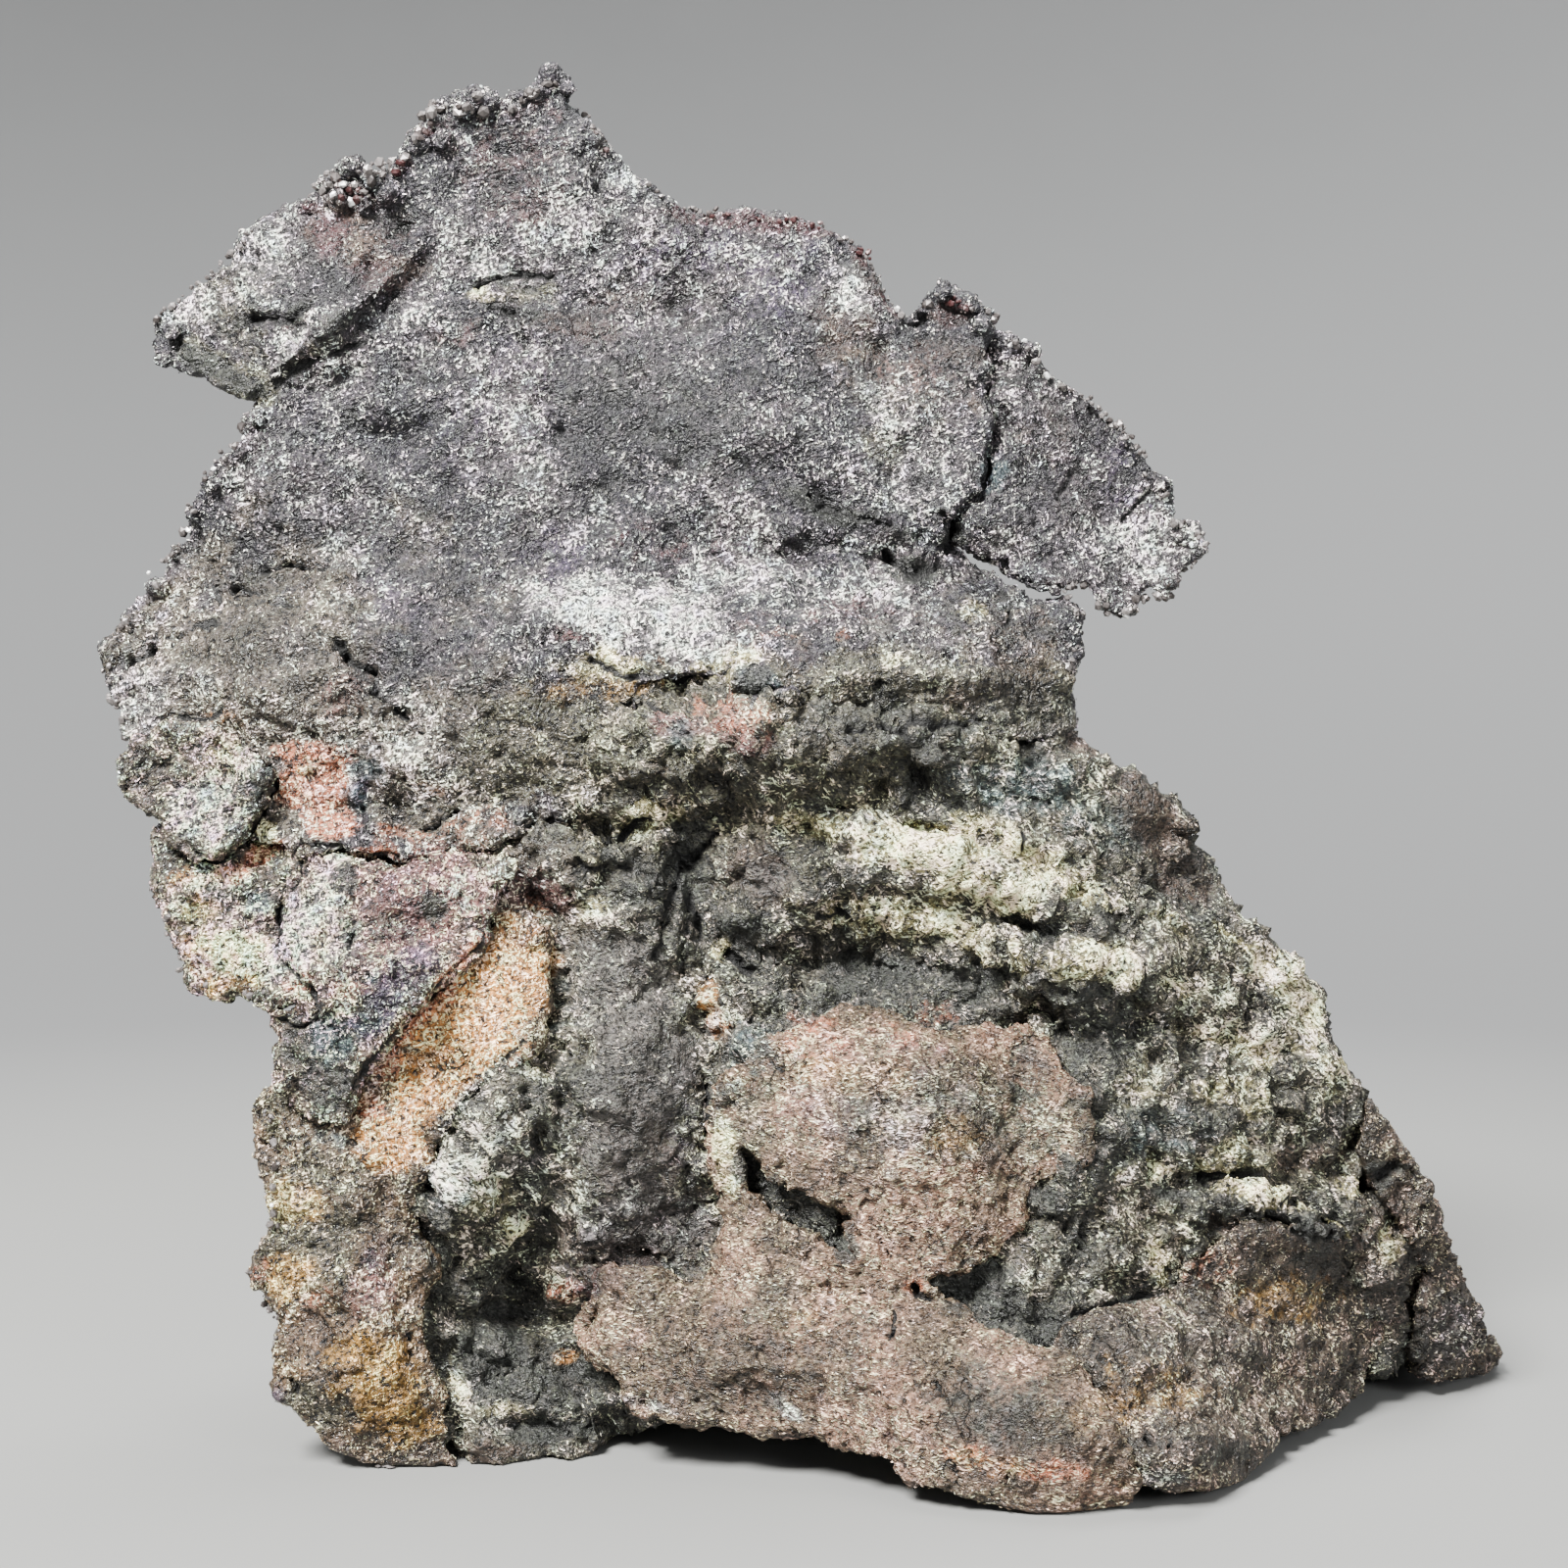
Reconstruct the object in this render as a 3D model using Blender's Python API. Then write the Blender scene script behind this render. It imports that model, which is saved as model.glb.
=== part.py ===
"""Native silver on matrix: a standing sheet of matted silver crystals with a torn wing, and
overlapping silver leaves that drape a flat-based wedge of dark rock.

Outlines are drawn in millimetres on the upright plane y = 0, in the shape they have for an eye
EYE_BACK in front of that plane and EYE_UP above the ground. Each point is then carried back or
forward along its own line of sight by the relief of the piece it belongs to.
"""

import math

import bmesh
import bpy
import numpy as np
from mathutils import Matrix, Vector, noise
from mathutils.geometry import delaunay_2d_cdt

MM = 0.001
EYE_BACK = 300.0
EYE_UP = 100.0

LATTICE = 6.0            # spacing of the points that carry the relief
EDGE_STEP = 3.2          # spacing of the points along a torn edge
HIDDEN_STEP = 8.0        # and along an edge that another piece covers
CLEAR_OF_EDGE = 1.9      # lattice points keep this far from every edge
GAP = 0.7                # air between two leaves that lie on each other
LEDGE_HALF = 0.7         # half the width of a ledge's riser

ROCK_DEPTH = 60.0        # how far back the rock reaches at the ground
ROCK_TOP_DEPTH = 20.0    # and at its top edge, behind the sheet
ROCK_TOP = 112.0
ROCK_TILTS = 1795464481  # settles which way each broken face of the rock tilts
SOLE_TOP = 17.0          # the rock's outline below this height is the edge of its flat sole

# Every run of an outline is (points, size of its teeth, point spacing).
SHEET_RUNS = [
    ([(-34, 175), (-31.5, 176), (-30, 178.8), (-27.5, 177.5), (-27.5, 174), (-25, 171.5), (-22, 168),
      (-19, 165), (-14, 161), (-5, 160), (2, 159.5), (5.5, 157.5), (9, 155.5), (11, 152.5),
      (13, 148.5), (15.8, 146.6), (18, 149.5), (20.5, 151), (24, 149), (25.8, 147.5)], 0.5, EDGE_STEP),
    ([(26.6, 145), (25.2, 142.5), (26.2, 140), (25.4, 137), (26.2, 133), (26.1, 129.5), (25.2, 125),
      (22, 122.6), (20.5, 119.5), (21.5, 117), (24, 115.3), (27.5, 114), (29.7, 112.2), (32.6, 110.6),
      (35.6, 111)], 0.0, EDGE_STEP),
    ([(38, 109.5), (37.5, 106), (38, 104.5), (36.7, 101), (36.5, 97.5), (37, 95), (32.5, 93),
      (25, 93.5), (17.5, 94.5), (10, 95), (2.5, 98), (-7, 101), (-14, 101), (-19, 100), (-20, 92.5),
      (-25, 84.5), (-34, 81), (-44, 79), (-50, 78), (-57, 79.5), (-61.5, 79)], 0.5, EDGE_STEP),
    ([(-68, 80.8), (-72, 85), (-79, 89)], 0.0, HIDDEN_STEP),
    ([(-84, 94.5), (-85, 98.5), (-87, 105), (-85, 107), (-80, 112), (-78.5, 114), (-78, 117.5),
      (-75.6, 118.7), (-76, 122), (-73, 126.5), (-69.2, 130), (-67.5, 134.5), (-65.5, 137)],
     0.9, 2.6),
    ([(-69, 137), (-74.5, 139.5), (-80, 142), (-80.7, 146), (-77, 148), (-73, 151), (-70, 153),
      (-69, 157.5), (-64.5, 160), (-59.5, 162.5), (-56.5, 167), (-54, 167.7), (-52.4, 164.5),
      (-49.5, 165.5), (-47.5, 170), (-44.5, 172.5), (-43.5, 175), (-40, 175.3), (-37, 174)],
     0.6, EDGE_STEP),
]
WING_RUNS = [
    ([(27.6, 145), (30.5, 144), (32.3, 142.6), (32.5, 140.5), (35.5, 138.5), (39, 136), (41, 133.5),
      (44, 131), (46, 128.5), (48, 126.5), (49.6, 124), (49.2, 121), (52.5, 120.7), (54, 117),
      (50, 114.5), (48.8, 111), (47, 113), (45, 112), (45, 109), (43.5, 108.5), (40, 109.8),
      (38.8, 113), (36.2, 113.2)], 0.8, 2.2),
    ([(32.6, 112), (30, 113.6), (27.8, 115.2), (24.5, 116.4), (22.3, 118)], 0.0, EDGE_STEP),
    ([(15, 119), (14, 130), (16, 141), (22, 144)], 0.0, HIDDEN_STEP),
]
CURL_RUNS = [
    ([(-82.5, 93.5), (-76, 95), (-70.5, 94), (-66.5, 91), (-64.8, 88), (-66, 84.5), (-68.5, 81),
      (-71.5, 78.2), (-74.5, 78), (-78, 80), (-79, 82), (-81.5, 84), (-84.2, 86.5), (-84.6, 90)],
     0.4, 3.0),
]
OUTER_LEFT_RUNS = [
    ([(-62, 71), (-60.5, 66), (-60, 62.5), (-62.5, 60), (-66, 59), (-67, 60.3), (-71, 60.5),
      (-76, 61.7), (-76, 64.5), (-78, 68), (-79.5, 73), (-79.3, 77.5), (-79.5, 81)], 0.6, 2.6),
    ([(-78, 86), (-68, 87), (-58, 84), (-57, 76)], 0.0, HIDDEN_STEP),
]
LEFT_LEAF_RUNS = [
    ([(-37, 71.4), (-37.3, 68.5), (-41, 64), (-47, 59), (-51.5, 53.5), (-54.5, 49), (-55.8, 44),
      (-59, 44.5), (-62.5, 46.5), (-64.5, 50), (-64, 55), (-65.5, 58.2), (-62.3, 59.4),
      (-60.4, 62.5), (-62.6, 66), (-64, 71), (-62, 76)], 0.4, 3.0),
    ([(-60, 84), (-50, 85), (-38, 83), (-34, 77)], 0.0, HIDDEN_STEP),
]
LOWER_LEFT_RUNS = [
    ([(-30.3, 68), (-30, 62.5), (-31.5, 55), (-37.5, 50), (-42, 46), (-46, 39.5), (-47, 32.5),
      (-44.5, 25), (-46, 19), (-43.5, 11), (-43, 3), (-41.5, 0), (-46, -0.4), (-53, 1), (-57, 3),
      (-59.5, 6), (-62.5, 9), (-65.5, 11), (-65, 14.5), (-64, 20), (-67.5, 25.5), (-65.5, 30),
      (-65, 36), (-67, 41.5), (-67, 46), (-65.2, 48)], 0.7, 2.9),
    ([(-62, 52), (-58, 62), (-50, 70), (-42, 74), (-34, 73)], 0.0, HIDDEN_STEP),
]
BROWN_RUNS = [
    ([(-8, 50), (-2.5, 54), (2, 56), (10.5, 59.5), (14.5, 58.5), (19.5, 56), (30.5, 56.5),
      (34, 55.5), (35.5, 51), (39, 48), (39, 40), (34, 38), (30.5, 36), (30, 32), (26.5, 28),
      (23, 25.6), (18, 24.6), (20, 21.5), (27, 17.5), (32.5, 15), (36, 15), (38.5, 12), (41, 7),
      (44, 2), (45, -1.5), (44, -4.5), (41, -6), (32, -5.5), (25, -4), (15.5, -1), (13, 1.5),
      (6, 4), (-2.5, 5), (-14.5, 6), (-19, 8), (-21, 12), (-26, 16), (-26.5, 19), (-24.5, 21.5),
      (-24, 25), (-17, 25), (-12, 23.5), (-10, 24.5), (-9, 28), (-7.5, 32), (-9, 36), (-10, 42),
      (-9, 46)], 0.5, EDGE_STEP),
]
BROWN_WINDOW = [
    ([(-6, 41.5), (-3, 40.5), (-1.5, 37.5), (5.5, 34), (9, 32.5), (8, 30.5), (9.5, 27), (6, 28),
      (1.5, 31), (-1.5, 32), (-4.5, 35.5)], 0.3, EDGE_STEP),
]
LOWER_RIGHT_RUNS = [
    ([(44, 20.5), (49, 21), (52, 26.5), (58.5, 31), (67, 31), (73.5, 29), (77, 24.5), (79, 20.5),
      (78, 16.5), (75, 13.5), (72.5, 10), (69, 7.5), (66.5, 5.7), (62, 5), (60.5, 1), (58.5, -1.5),
      (54, -2.5), (48.5, -2.6)], 0.5, EDGE_STEP),
    ([(44, 0), (40, 4), (37, 9), (33, 13), (36, 18.5)], 0.0, HIDDEN_STEP),
]
TOE_RUNS = [
    ([(74.5, 47), (77, 44), (80, 39), (83, 32.5), (86.5, 24), (88, 20), (91, 16), (91, 13.5),
      (89.5, 12.2), (83, 11.8), (81.3, 12.8), (80.3, 15.5), (80.3, 19.5), (81.3, 23), (82, 25.5),
      (80, 29.5), (77.5, 33.5), (75, 37), (73.5, 41)], 0.4, EDGE_STEP),
]
ROCK_RUNS = [
    ([(37, 94.5), (43.5, 89), (48.5, 86), (51.5, 81), (55, 76.5), (58.5, 70.5), (60.5, 70),
      (65.5, 63.5), (68.5, 60), (70, 57), (71, 53.5), (73.2, 49), (74, 45)], 0.5, EDGE_STEP),
    ([(76.5, 39), (81, 30), (84, 22), (82, 16), (74, 13), (66, 10.5), (54, 8), (44, 7), (30, 6.5),
      (16, 6.5), (0, 6.8), (-7.5, 6.8)], 0.0, HIDDEN_STEP),
    ([(-14.5, 6.2), (-19, 4.9), (-21.5, 4.4), (-24.5, 1.9), (-27.5, 1.2), (-30, 1.7), (-33, 1.2),
      (-36, 0.7), (-40, 0.8)], 0.0, EDGE_STEP),
    ([(-42.6, 2.7), (-47, 6), (-55, 11), (-58, 25), (-57, 40), (-54, 60), (-58, 80), (-50, 96), (-30, 106),
      (0, 110), (22, 107), (31, 101)], 0.0, HIDDEN_STEP),
]

# Rounded swellings of the whole front: (u, v, half width, half height, mm towards the viewer).
LUMPS = [
    (-8, 99, 34, 13, 7.0), (18, 104, 16, 9, 3.5), (-50, 104, 22, 10, 3.0), (-62, 146, 12, 7, 4.0),
    (-70, 128, 10, 12, 3.0), (5, 139, 12, 9, 2.5), (-25, 130, 20, 12, 2.0), (-70, 100, 9, 9, 2.5),
    (-74, 72, 7, 8, 3.0), (-52, 62, 11, 10, 4.0), (-37, 60, 8, 9, 2.0), (-55, 20, 10, 14, 4.5),
    (-38, 40, 8, 10, 6.0), (-22, 52, 9, 20, 3.5), (18, 77, 16, 6, 6.0), (36, 65, 14, 5, 5.0),
    (15, 44, 20, 12, 6.0), (32, 2, 18, 12, 9.0), (-8, 17, 14, 8, 4.0), (60, 22, 12, 8, 5.0),
    (62, 33, 12, 4, 4.0), (52, 46, 14, 8, 3.0), (52, 3, 8, 5, 4.0), (-2, 96, 6, 4, 3.0),
    (86, 17, 5, 6, 3.0), (30, 128, 10, 14, 1.5), (10, 128, 12, 10, 2.0),
]
# Hollows in the same terms, as mm away from the viewer.
HOLLOWS = [
    (-11, 74, 4, 10, 7.0), (-33, 22, 9, 12, 8.0), (12, 64, 18, 4, 7.0), (22, 116, 7, 3, 4.0),
    (10, 114, 12, 3, 4.0), (-18, 150, 9, 3, 3.5), (40, 96, 8, 8, 3.0), (-12, 30, 7, 12, 4.0),
    (47, 22, 10, 3, 5.0), (74, 36, 4, 5, 4.0), (-52, 84, 8, 3, 2.5), (-44, 104, 3, 4, 3.0),
    (-66, 112, 9, 2, 3.0), (30, 45, 6, 20, 3.0),
]
# Ledges run left to right; the side below stands this many millimetres forward.
LEDGES = [
    ([(-36, 108), (-28, 112), (-18, 113), (-8, 111)], 2.6),
    ([(-9, 108.5), (4, 109.5), (16, 107.5)], 2.2),
    ([(-46, 148), (-36, 150.5), (-26, 148)], 2.4),
    ([(-66, 138), (-58, 145), (-48, 152.5)], -2.8),
    ([(-64, 113.5), (-56, 116), (-46, 114.5)], 2.2),
    ([(-68, 100), (-58, 103.5), (-49, 98)], 2.0),
    ([(2, 121), (12, 122.5), (17, 118)], 1.8),
    ([(8, 82), (18, 80.5), (30, 74), (40, 70)], 3.4),
    ([(24, 68), (36, 66.5), (46, 62)], 3.0),
    ([(46, 56), (56, 53), (66, 52)], 2.4),
    ([(50, 37), (60, 35), (70, 30)], 3.0),
    ([(-32, 82), (-22, 80), (-14, 82)], 2.4),
    ([(-52, 66), (-44, 68), (-40, 66)], 1.2),
    ([(-28, 96), (-20, 89), (-10, 90)], 1.6),
    ([(-2, 47), (10, 46), (24, 48)], 1.2),
    ([(-6, 14), (8, 13), (18, 9)], 1.4),
]

# Standing crystals fused to the edges: (u, v, size, mm forward of the surface there).
SHEET_CRYSTALS = [
    (-29.5, 177.6, 1.6, 0.4), (-27.2, 176.2, 1.3, 0.8), (-31.6, 175.6, 1.3, 0.5),
    (-34.2, 174.4, 1.5, 0.6), (-38.2, 174.6, 1.9, 1.0), (-41.2, 173.6, 2.1, 1.4),
    (-44.2, 171.8, 1.9, 1.0), (-46.6, 169.4, 1.7, 0.8), (-43.4, 169.6, 1.5, 1.5),
    (-55.2, 166.6, 2.2, 1.2), (-58.2, 163.8, 1.9, 1.2), (-52.4, 164.4, 1.7, 1.4),
    (-56.6, 161.8, 1.8, 2.0), (-60.8, 161.2, 1.5, 0.8), (-53.4, 161.0, 1.4, 1.8),
    (-50.2, 162.6, 1.6, 1.6), (20.4, 149.8, 1.9, 0.9), (23.4, 148.8, 1.7, 0.9),
    (18.0, 147.6, 1.6, 0.9), (25.2, 145.8, 1.4, 0.8), (-84.6, 100.0, 1.7, 0.8),
    (-85.6, 104.2, 1.9, 0.8), (-82.6, 108.6, 1.6, 0.8), (-79.2, 112.8, 1.6, 0.9),
    (-77.2, 117.0, 1.7, 0.8), (-75.2, 121.8, 1.6, 0.8), (-72.8, 125.8, 1.6, 0.8),
    (-69.6, 129.4, 1.5, 0.8), (-67.4, 133.6, 1.5, 0.8), (-79.0, 141.6, 1.7, 0.8),
    (-77.8, 145.0, 1.6, 1.2), (-3.0, 96.4, 2.6, 1.4), (0.2, 98.0, 2.2, 1.2),
]
WING_CRYSTALS = [
    (31.8, 142.8, 1.6, 0.7), (38.4, 135.6, 1.3, 0.6), (43.4, 130.6, 1.4, 0.6),
    (48.4, 125.4, 1.4, 0.6), (50.8, 119.2, 1.7, 0.7), (52.6, 117.4, 1.6, 0.7),
    (49.2, 113.2, 1.3, 0.6), (44.0, 110.0, 1.5, 0.7), (40.6, 111.2, 1.3, 0.6),
]
LOWER_LEFT_CRYSTALS = [
    (-63.8, 10.4, 2.3, 0.6), (-66.2, 25.6, 1.6, 0.7), (-65.8, 43.8, 1.6, 0.7),
]
ROCK_CRYSTALS = [
    (-21.5, 80.5, 3.4, 0.6), (-17.5, 83.5, 2.9, 0.4), (-26.0, 77.5, 2.5, 0.5),
    (20.0, 62.5, 2.6, 0.5), (26.0, 60.5, 2.2, 0.5), (42.0, 26.5, 2.4, 0.5),
    (54.0, 40.0, 2.4, 0.4), (63.0, 47.0, 2.2, 0.4), (-38.0, 31.0, 2.6, 0.4),
    (-29.0, 14.0, 2.6, 0.5), (-34.0, 10.0, 2.4, 0.5), (49.0, 72.0, 2.0, 0.4),
]

# Linear colour, roughness and metallic value of each piece.
FINISHES = {
    "matrix": ((0.055, 0.058, 0.050), 0.85, 0.0),
    "main_sheet": ((0.30, 0.29, 0.29), 0.50, 0.8),
    "right_wing": ((0.27, 0.27, 0.27), 0.50, 0.8),
    "left_curl": ((0.33, 0.31, 0.28), 0.50, 0.7),
    "outer_left_leaf": ((0.36, 0.32, 0.25), 0.50, 0.7),
    "left_leaf": ((0.30, 0.25, 0.22), 0.50, 0.7),
    "lower_left_leaf": ((0.33, 0.22, 0.12), 0.50, 0.7),
    "brown_leaf": ((0.20, 0.15, 0.12), 0.55, 0.6),
    "lower_right_leaf": ((0.12, 0.10, 0.08), 0.60, 0.4),
    "right_toe": ((0.09, 0.085, 0.075), 0.65, 0.3),
}


def rough(u, v, scale, seed):
    """Smooth noise from -1 to 1 whose waves are about `scale` millimetres long."""
    return noise.noise(Vector((u / scale, v / scale, seed)))


def blend(low, high, value):
    """0 below low, 1 above high and a smooth rise between them."""
    t = min(max((value - low) / (high - low), 0.0), 1.0)
    return t * t * (3.0 - 2.0 * t)


def torn(runs, seed):
    """One closed outline from its runs, with small uneven teeth along the torn ones."""
    points = []
    for number, (run, teeth, spacing) in enumerate(runs):
        following = runs[(number + 1) % len(runs)][0][0]
        for here, there in zip(run, run[1:] + [following]):
            start, end = Vector(here), Vector(there)
            pieces = max(1, round((end - start).length / spacing))
            side = (end - start).normalized().orthogonal()
            for piece in range(pieces):
                at = start.lerp(end, piece / pieces)
                if piece:
                    at += side * teeth * 1.4 * rough(at.x, at.y, 1.7, seed)
                points.append((at.x, at.y))
    return points


def offset_line(points, amount):
    """The polyline moved sideways, up for a positive amount on a line that runs to the right."""
    moved = []
    for number, (u, v) in enumerate(points):
        before = points[max(number - 1, 0)]
        after = points[min(number + 1, len(points) - 1)]
        run, rise = after[0] - before[0], after[1] - before[1]
        length = math.hypot(run, rise)
        moved.append((u - rise / length * amount, v + run / length * amount))
    return moved


def distance_to_line(points, u, v):
    """Distance from a polyline, and on which side: positive above a line that runs right."""
    best, side = 1e9, 1.0
    for (u0, v0), (u1, v1) in zip(points, points[1:]):
        run, rise = u1 - u0, v1 - v0
        t = ((u - u0) * run + (v - v0) * rise) / (run * run + rise * rise)
        t = min(max(t, 0.0), 1.0)
        away = math.hypot(u - u0 - t * run, v - v0 - t * rise)
        if away < best:
            best = away
            side = 1.0 if run * (v - v0) - rise * (u - u0) > 0 else -1.0
    return best, side


def base(u, v):
    """Depth behind the plane y = 0 of the smooth front, before any piece's own relief."""
    lean = 0.09 * max(v - 104, 0) + 5.0 * blend(98, 120, v)
    corner = 54 - 18 * blend(0, 30, v)
    flank = (1.4 - 0.9 * blend(0, 40, v)) * max(u - corner, 0) * blend(104, 78, v)
    foot = 9.0 * blend(58, 4, v) * blend(-12, 20, u) - 5.0 * blend(60, 110, v)
    left = 0.16 * max(-u - 56, 0) + 0.10 * max(u - 20, 0) * blend(86, 110, v)
    return lean + flank - foot + left + 0.5


def front(u, v, seed, roughness=1.0):
    """Depth of a piece's own front: swellings, hollows, ledges and broken ground."""
    depth = base(u, v)
    for cu, cv, wide, high, height in LUMPS:
        depth -= height * math.exp(-((u - cu) / wide) ** 2 - ((v - cv) / high) ** 2)
    for cu, cv, wide, high, height in HOLLOWS:
        depth += height * math.exp(-((u - cu) / wide) ** 2 - ((v - cv) / high) ** 2)
    for line, height in LEDGES:
        away, side = distance_to_line(line, u, v)
        if away < 14:
            depth += 0.5 * side * height * math.exp(-away / 5.0)
    depth += roughness * (1.7 * rough(u, v, 17, seed) + 1.3 * rough(u, v, 8, seed + 5))
    return depth


def ground_depth(v):
    """Depth at which the line of sight at height v meets the ground."""
    return EYE_BACK * (EYE_UP / (EYE_UP - v) - 1.0)


def place(u, v, depth):
    """The point `depth` behind the plane y = 0 on the line of sight through (u, v), in metres."""
    scale = (EYE_BACK + depth) / EYE_BACK
    height = max(EYE_UP - (EYE_UP - v) * scale, 0.0)
    return Vector((u * scale, depth, height)) * MM


class Leaf:
    """A silver leaf: its outline, how proud it stands of the smooth front, and its thickness."""

    def __init__(self, name, runs, seed, proud, thick, edge, roughness=1.0, window=None):
        self.name, self.seed, self.proud = name, seed, proud
        self.thick, self.edge, self.roughness = thick, edge, roughness
        self.outline = torn(runs, seed)
        self.holes = [torn(window, seed + 1)] if window else []

    def covers(self, u, v):
        """Whether a point lies on the leaf."""
        inside = in_outline(self.outline, u, v)
        return inside and not any(in_outline(hole, u, v) for hole in self.holes)

    def depth(self, u, v):
        """Depth of its front where nothing covers it."""
        return front(u, v, self.seed, self.roughness) - self.proud

    def thickness(self, u, v, on_edge):
        """Thin along the edge, fuller inside."""
        if on_edge:
            return self.edge
        swell = 0.4 * rough(u, v, 15, self.seed + 9) + 0.25 * rough(u, v, 7, self.seed + 13)
        return self.thick * (1.0 + swell)


def in_outline(outline, u, v):
    """Even-odd test of a point against a closed outline."""
    inside = False
    for (u0, v0), (u1, v1) in zip(outline, outline[1:] + outline[:1]):
        if (v0 > v) != (v1 > v) and u < u0 + (v - v0) / (v1 - v0) * (u1 - u0):
            inside = not inside
    return inside


# From the foremost leaf to the hindmost; each one passes behind those before it.
LEAVES = [
    Leaf("left_curl", CURL_RUNS, 3.0, 4.2, 3.4, 2.2, 0.7),
    Leaf("main_sheet", SHEET_RUNS, 11.0, 0.5, 7.0, 2.6),
    Leaf("right_wing", WING_RUNS, 11.0, 0.8, 3.6, 1.8, 0.8),
    Leaf("left_leaf", LEFT_LEAF_RUNS, 19.0, 2.2, 3.6, 2.0),
    Leaf("outer_left_leaf", OUTER_LEFT_RUNS, 23.0, 0.4, 4.2, 2.2),
    Leaf("lower_left_leaf", LOWER_LEFT_RUNS, 29.0, -1.2, 5.0, 2.4),
    Leaf("brown_leaf", BROWN_RUNS, 37.0, 1.2, 4.6, 2.4, 0.8, BROWN_WINDOW),
    Leaf("lower_right_leaf", LOWER_RIGHT_RUNS, 41.0, 0.6, 5.0, 2.6),
    Leaf("right_toe", TOE_RUNS, 43.0, 1.0, 9.0, 6.0, 0.8),
]
ROCK_OUTLINE = torn(ROCK_RUNS, 53.0)
ROCK_SOLE = [(u, v) for run, teeth, spacing in ROCK_RUNS[1:3] for u, v in run if v < SOLE_TOP]
ROCK_BEHIND = 3.0        # the rock lies this far behind the smooth front
ROCK_ROWS = (0.2, 0.45, 0.75)  # rows of corners across the rock's sides, as shares of the way back


def shared_net():
    """Triangles of the whole front, with every outline and ledge along their edges."""
    points, lines = [], []

    def add_line(line, closed):
        start = len(points)
        points.extend(line)
        count = len(line)
        lines.extend((start + i, start + (i + 1) % count) for i in range(count if closed else count - 1))

    add_line(ROCK_OUTLINE, True)
    for leaf in LEAVES:
        add_line(leaf.outline, True)
        for hole in leaf.holes:
            add_line(hole, True)
    fixed = np.array(points)
    for line, height in LEDGES:
        for amount in (LEDGE_HALF, -LEDGE_HALF):
            add_line(offset_line(line, amount), False)
    ledge_ends = np.array(points[len(fixed):])
    walls = np.vstack([fixed, ledge_ends])
    row = 0
    v = -8.0
    while v < 182.0:
        u = -92.0 + (LATTICE / 2 if row % 2 else 0.0)
        while u < 96.0:
            at = (u + 1.2 * rough(u, v, 3.1, 61), v + 1.2 * rough(u, v, 3.1, 67))
            if np.min(np.hypot(walls[:, 0] - at[0], walls[:, 1] - at[1])) > CLEAR_OF_EDGE:
                points.append(at)
            u += LATTICE
        v += LATTICE * math.sqrt(3) / 2
        row += 1
    net = delaunay_2d_cdt([Vector(p) for p in points], lines, [], 0, 1e-4)
    return [(p.x, p.y) for p in net[0]], [tuple(face) for face in net[2]]


def rim_of(faces):
    """Edges that belong to only one of the triangles, in the triangle's direction."""
    edges = {(face[i], face[(i + 1) % 3]) for face in faces for i in range(3)}
    return [(a, b) for a, b in edges if (b, a) not in edges]


def closed_solid(name, faces, fronts, backs, rings=()):
    """One closed mesh from a front, its back and the wall between their rims.

    `rings` holds the corners of the rows across the wall, from the front rim to the back rim.
    """
    used = sorted({corner for face in faces for corner in face})
    number = {corner: i for i, corner in enumerate(used)}
    verts = [fronts[corner] for corner in used] + [backs[corner] for corner in used]
    shift = len(used)
    polygons = [tuple(number[c] for c in face) for face in faces]
    polygons += [tuple(number[c] + shift for c in reversed(face)) for face in faces]
    rows = [number]
    for ring in rings:
        rows.append({corner: len(verts) + i for i, corner in enumerate(sorted(ring))})
        verts += [ring[corner] for corner in sorted(ring)]
    rows.append({corner: i + shift for corner, i in number.items()})
    for a, b in sorted(rim_of(faces)):
        for near, far in zip(rows, rows[1:]):
            polygons.append((near[b], near[a], far[a], far[b]))
    mesh = bpy.data.meshes.new(name)
    mesh.from_pydata(verts, [], polygons)
    body = bmesh.new()
    body.from_mesh(mesh)
    bmesh.ops.triangulate(body, faces=body.faces)
    bmesh.ops.recalc_face_normals(body, faces=body.faces)
    body.to_mesh(mesh)
    body.free()
    piece = bpy.data.objects.new(name, mesh)
    bpy.context.collection.objects.link(piece)
    return piece


def broken(u, v, block, seed):
    """Tilted flat facets about `block` millimetres wide, as on broken rock, from -1 to 1."""
    spot = Vector((u / block, v / block, seed))
    nearest = noise.voronoi(spot)[1][0]
    tilt = noise.noise_vector(nearest * 3.7)
    away = spot - nearest
    return min(max(1.6 * (tilt.x * away.x + tilt.y * away.y) + 0.5 * tilt.z, -1.0), 1.0)


def rock_back(u, v):
    """A point of the rock's broken back, which slopes forward from the ground to the top."""
    sole = np.interp(u, [p[0] for p in reversed(ROCK_SOLE)], [p[1] for p in reversed(ROCK_SOLE)])
    height = max(v - sole, 0.0) * EYE_UP / (EYE_UP - sole) * 0.97
    rise = min(height / ROCK_TOP, 1.0)
    depth = ROCK_TOP_DEPTH + (ROCK_DEPTH - ROCK_TOP_DEPTH) * (1.0 - rise) ** 0.7
    depth += 0.35 * max(u - 30, 0) + 6.0 * broken(u, v, 26, 71) + 1.6 * rough(u, v, 9, 73)
    return u * (0.93 + 0.16 * depth / ROCK_DEPTH), depth, height


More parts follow.
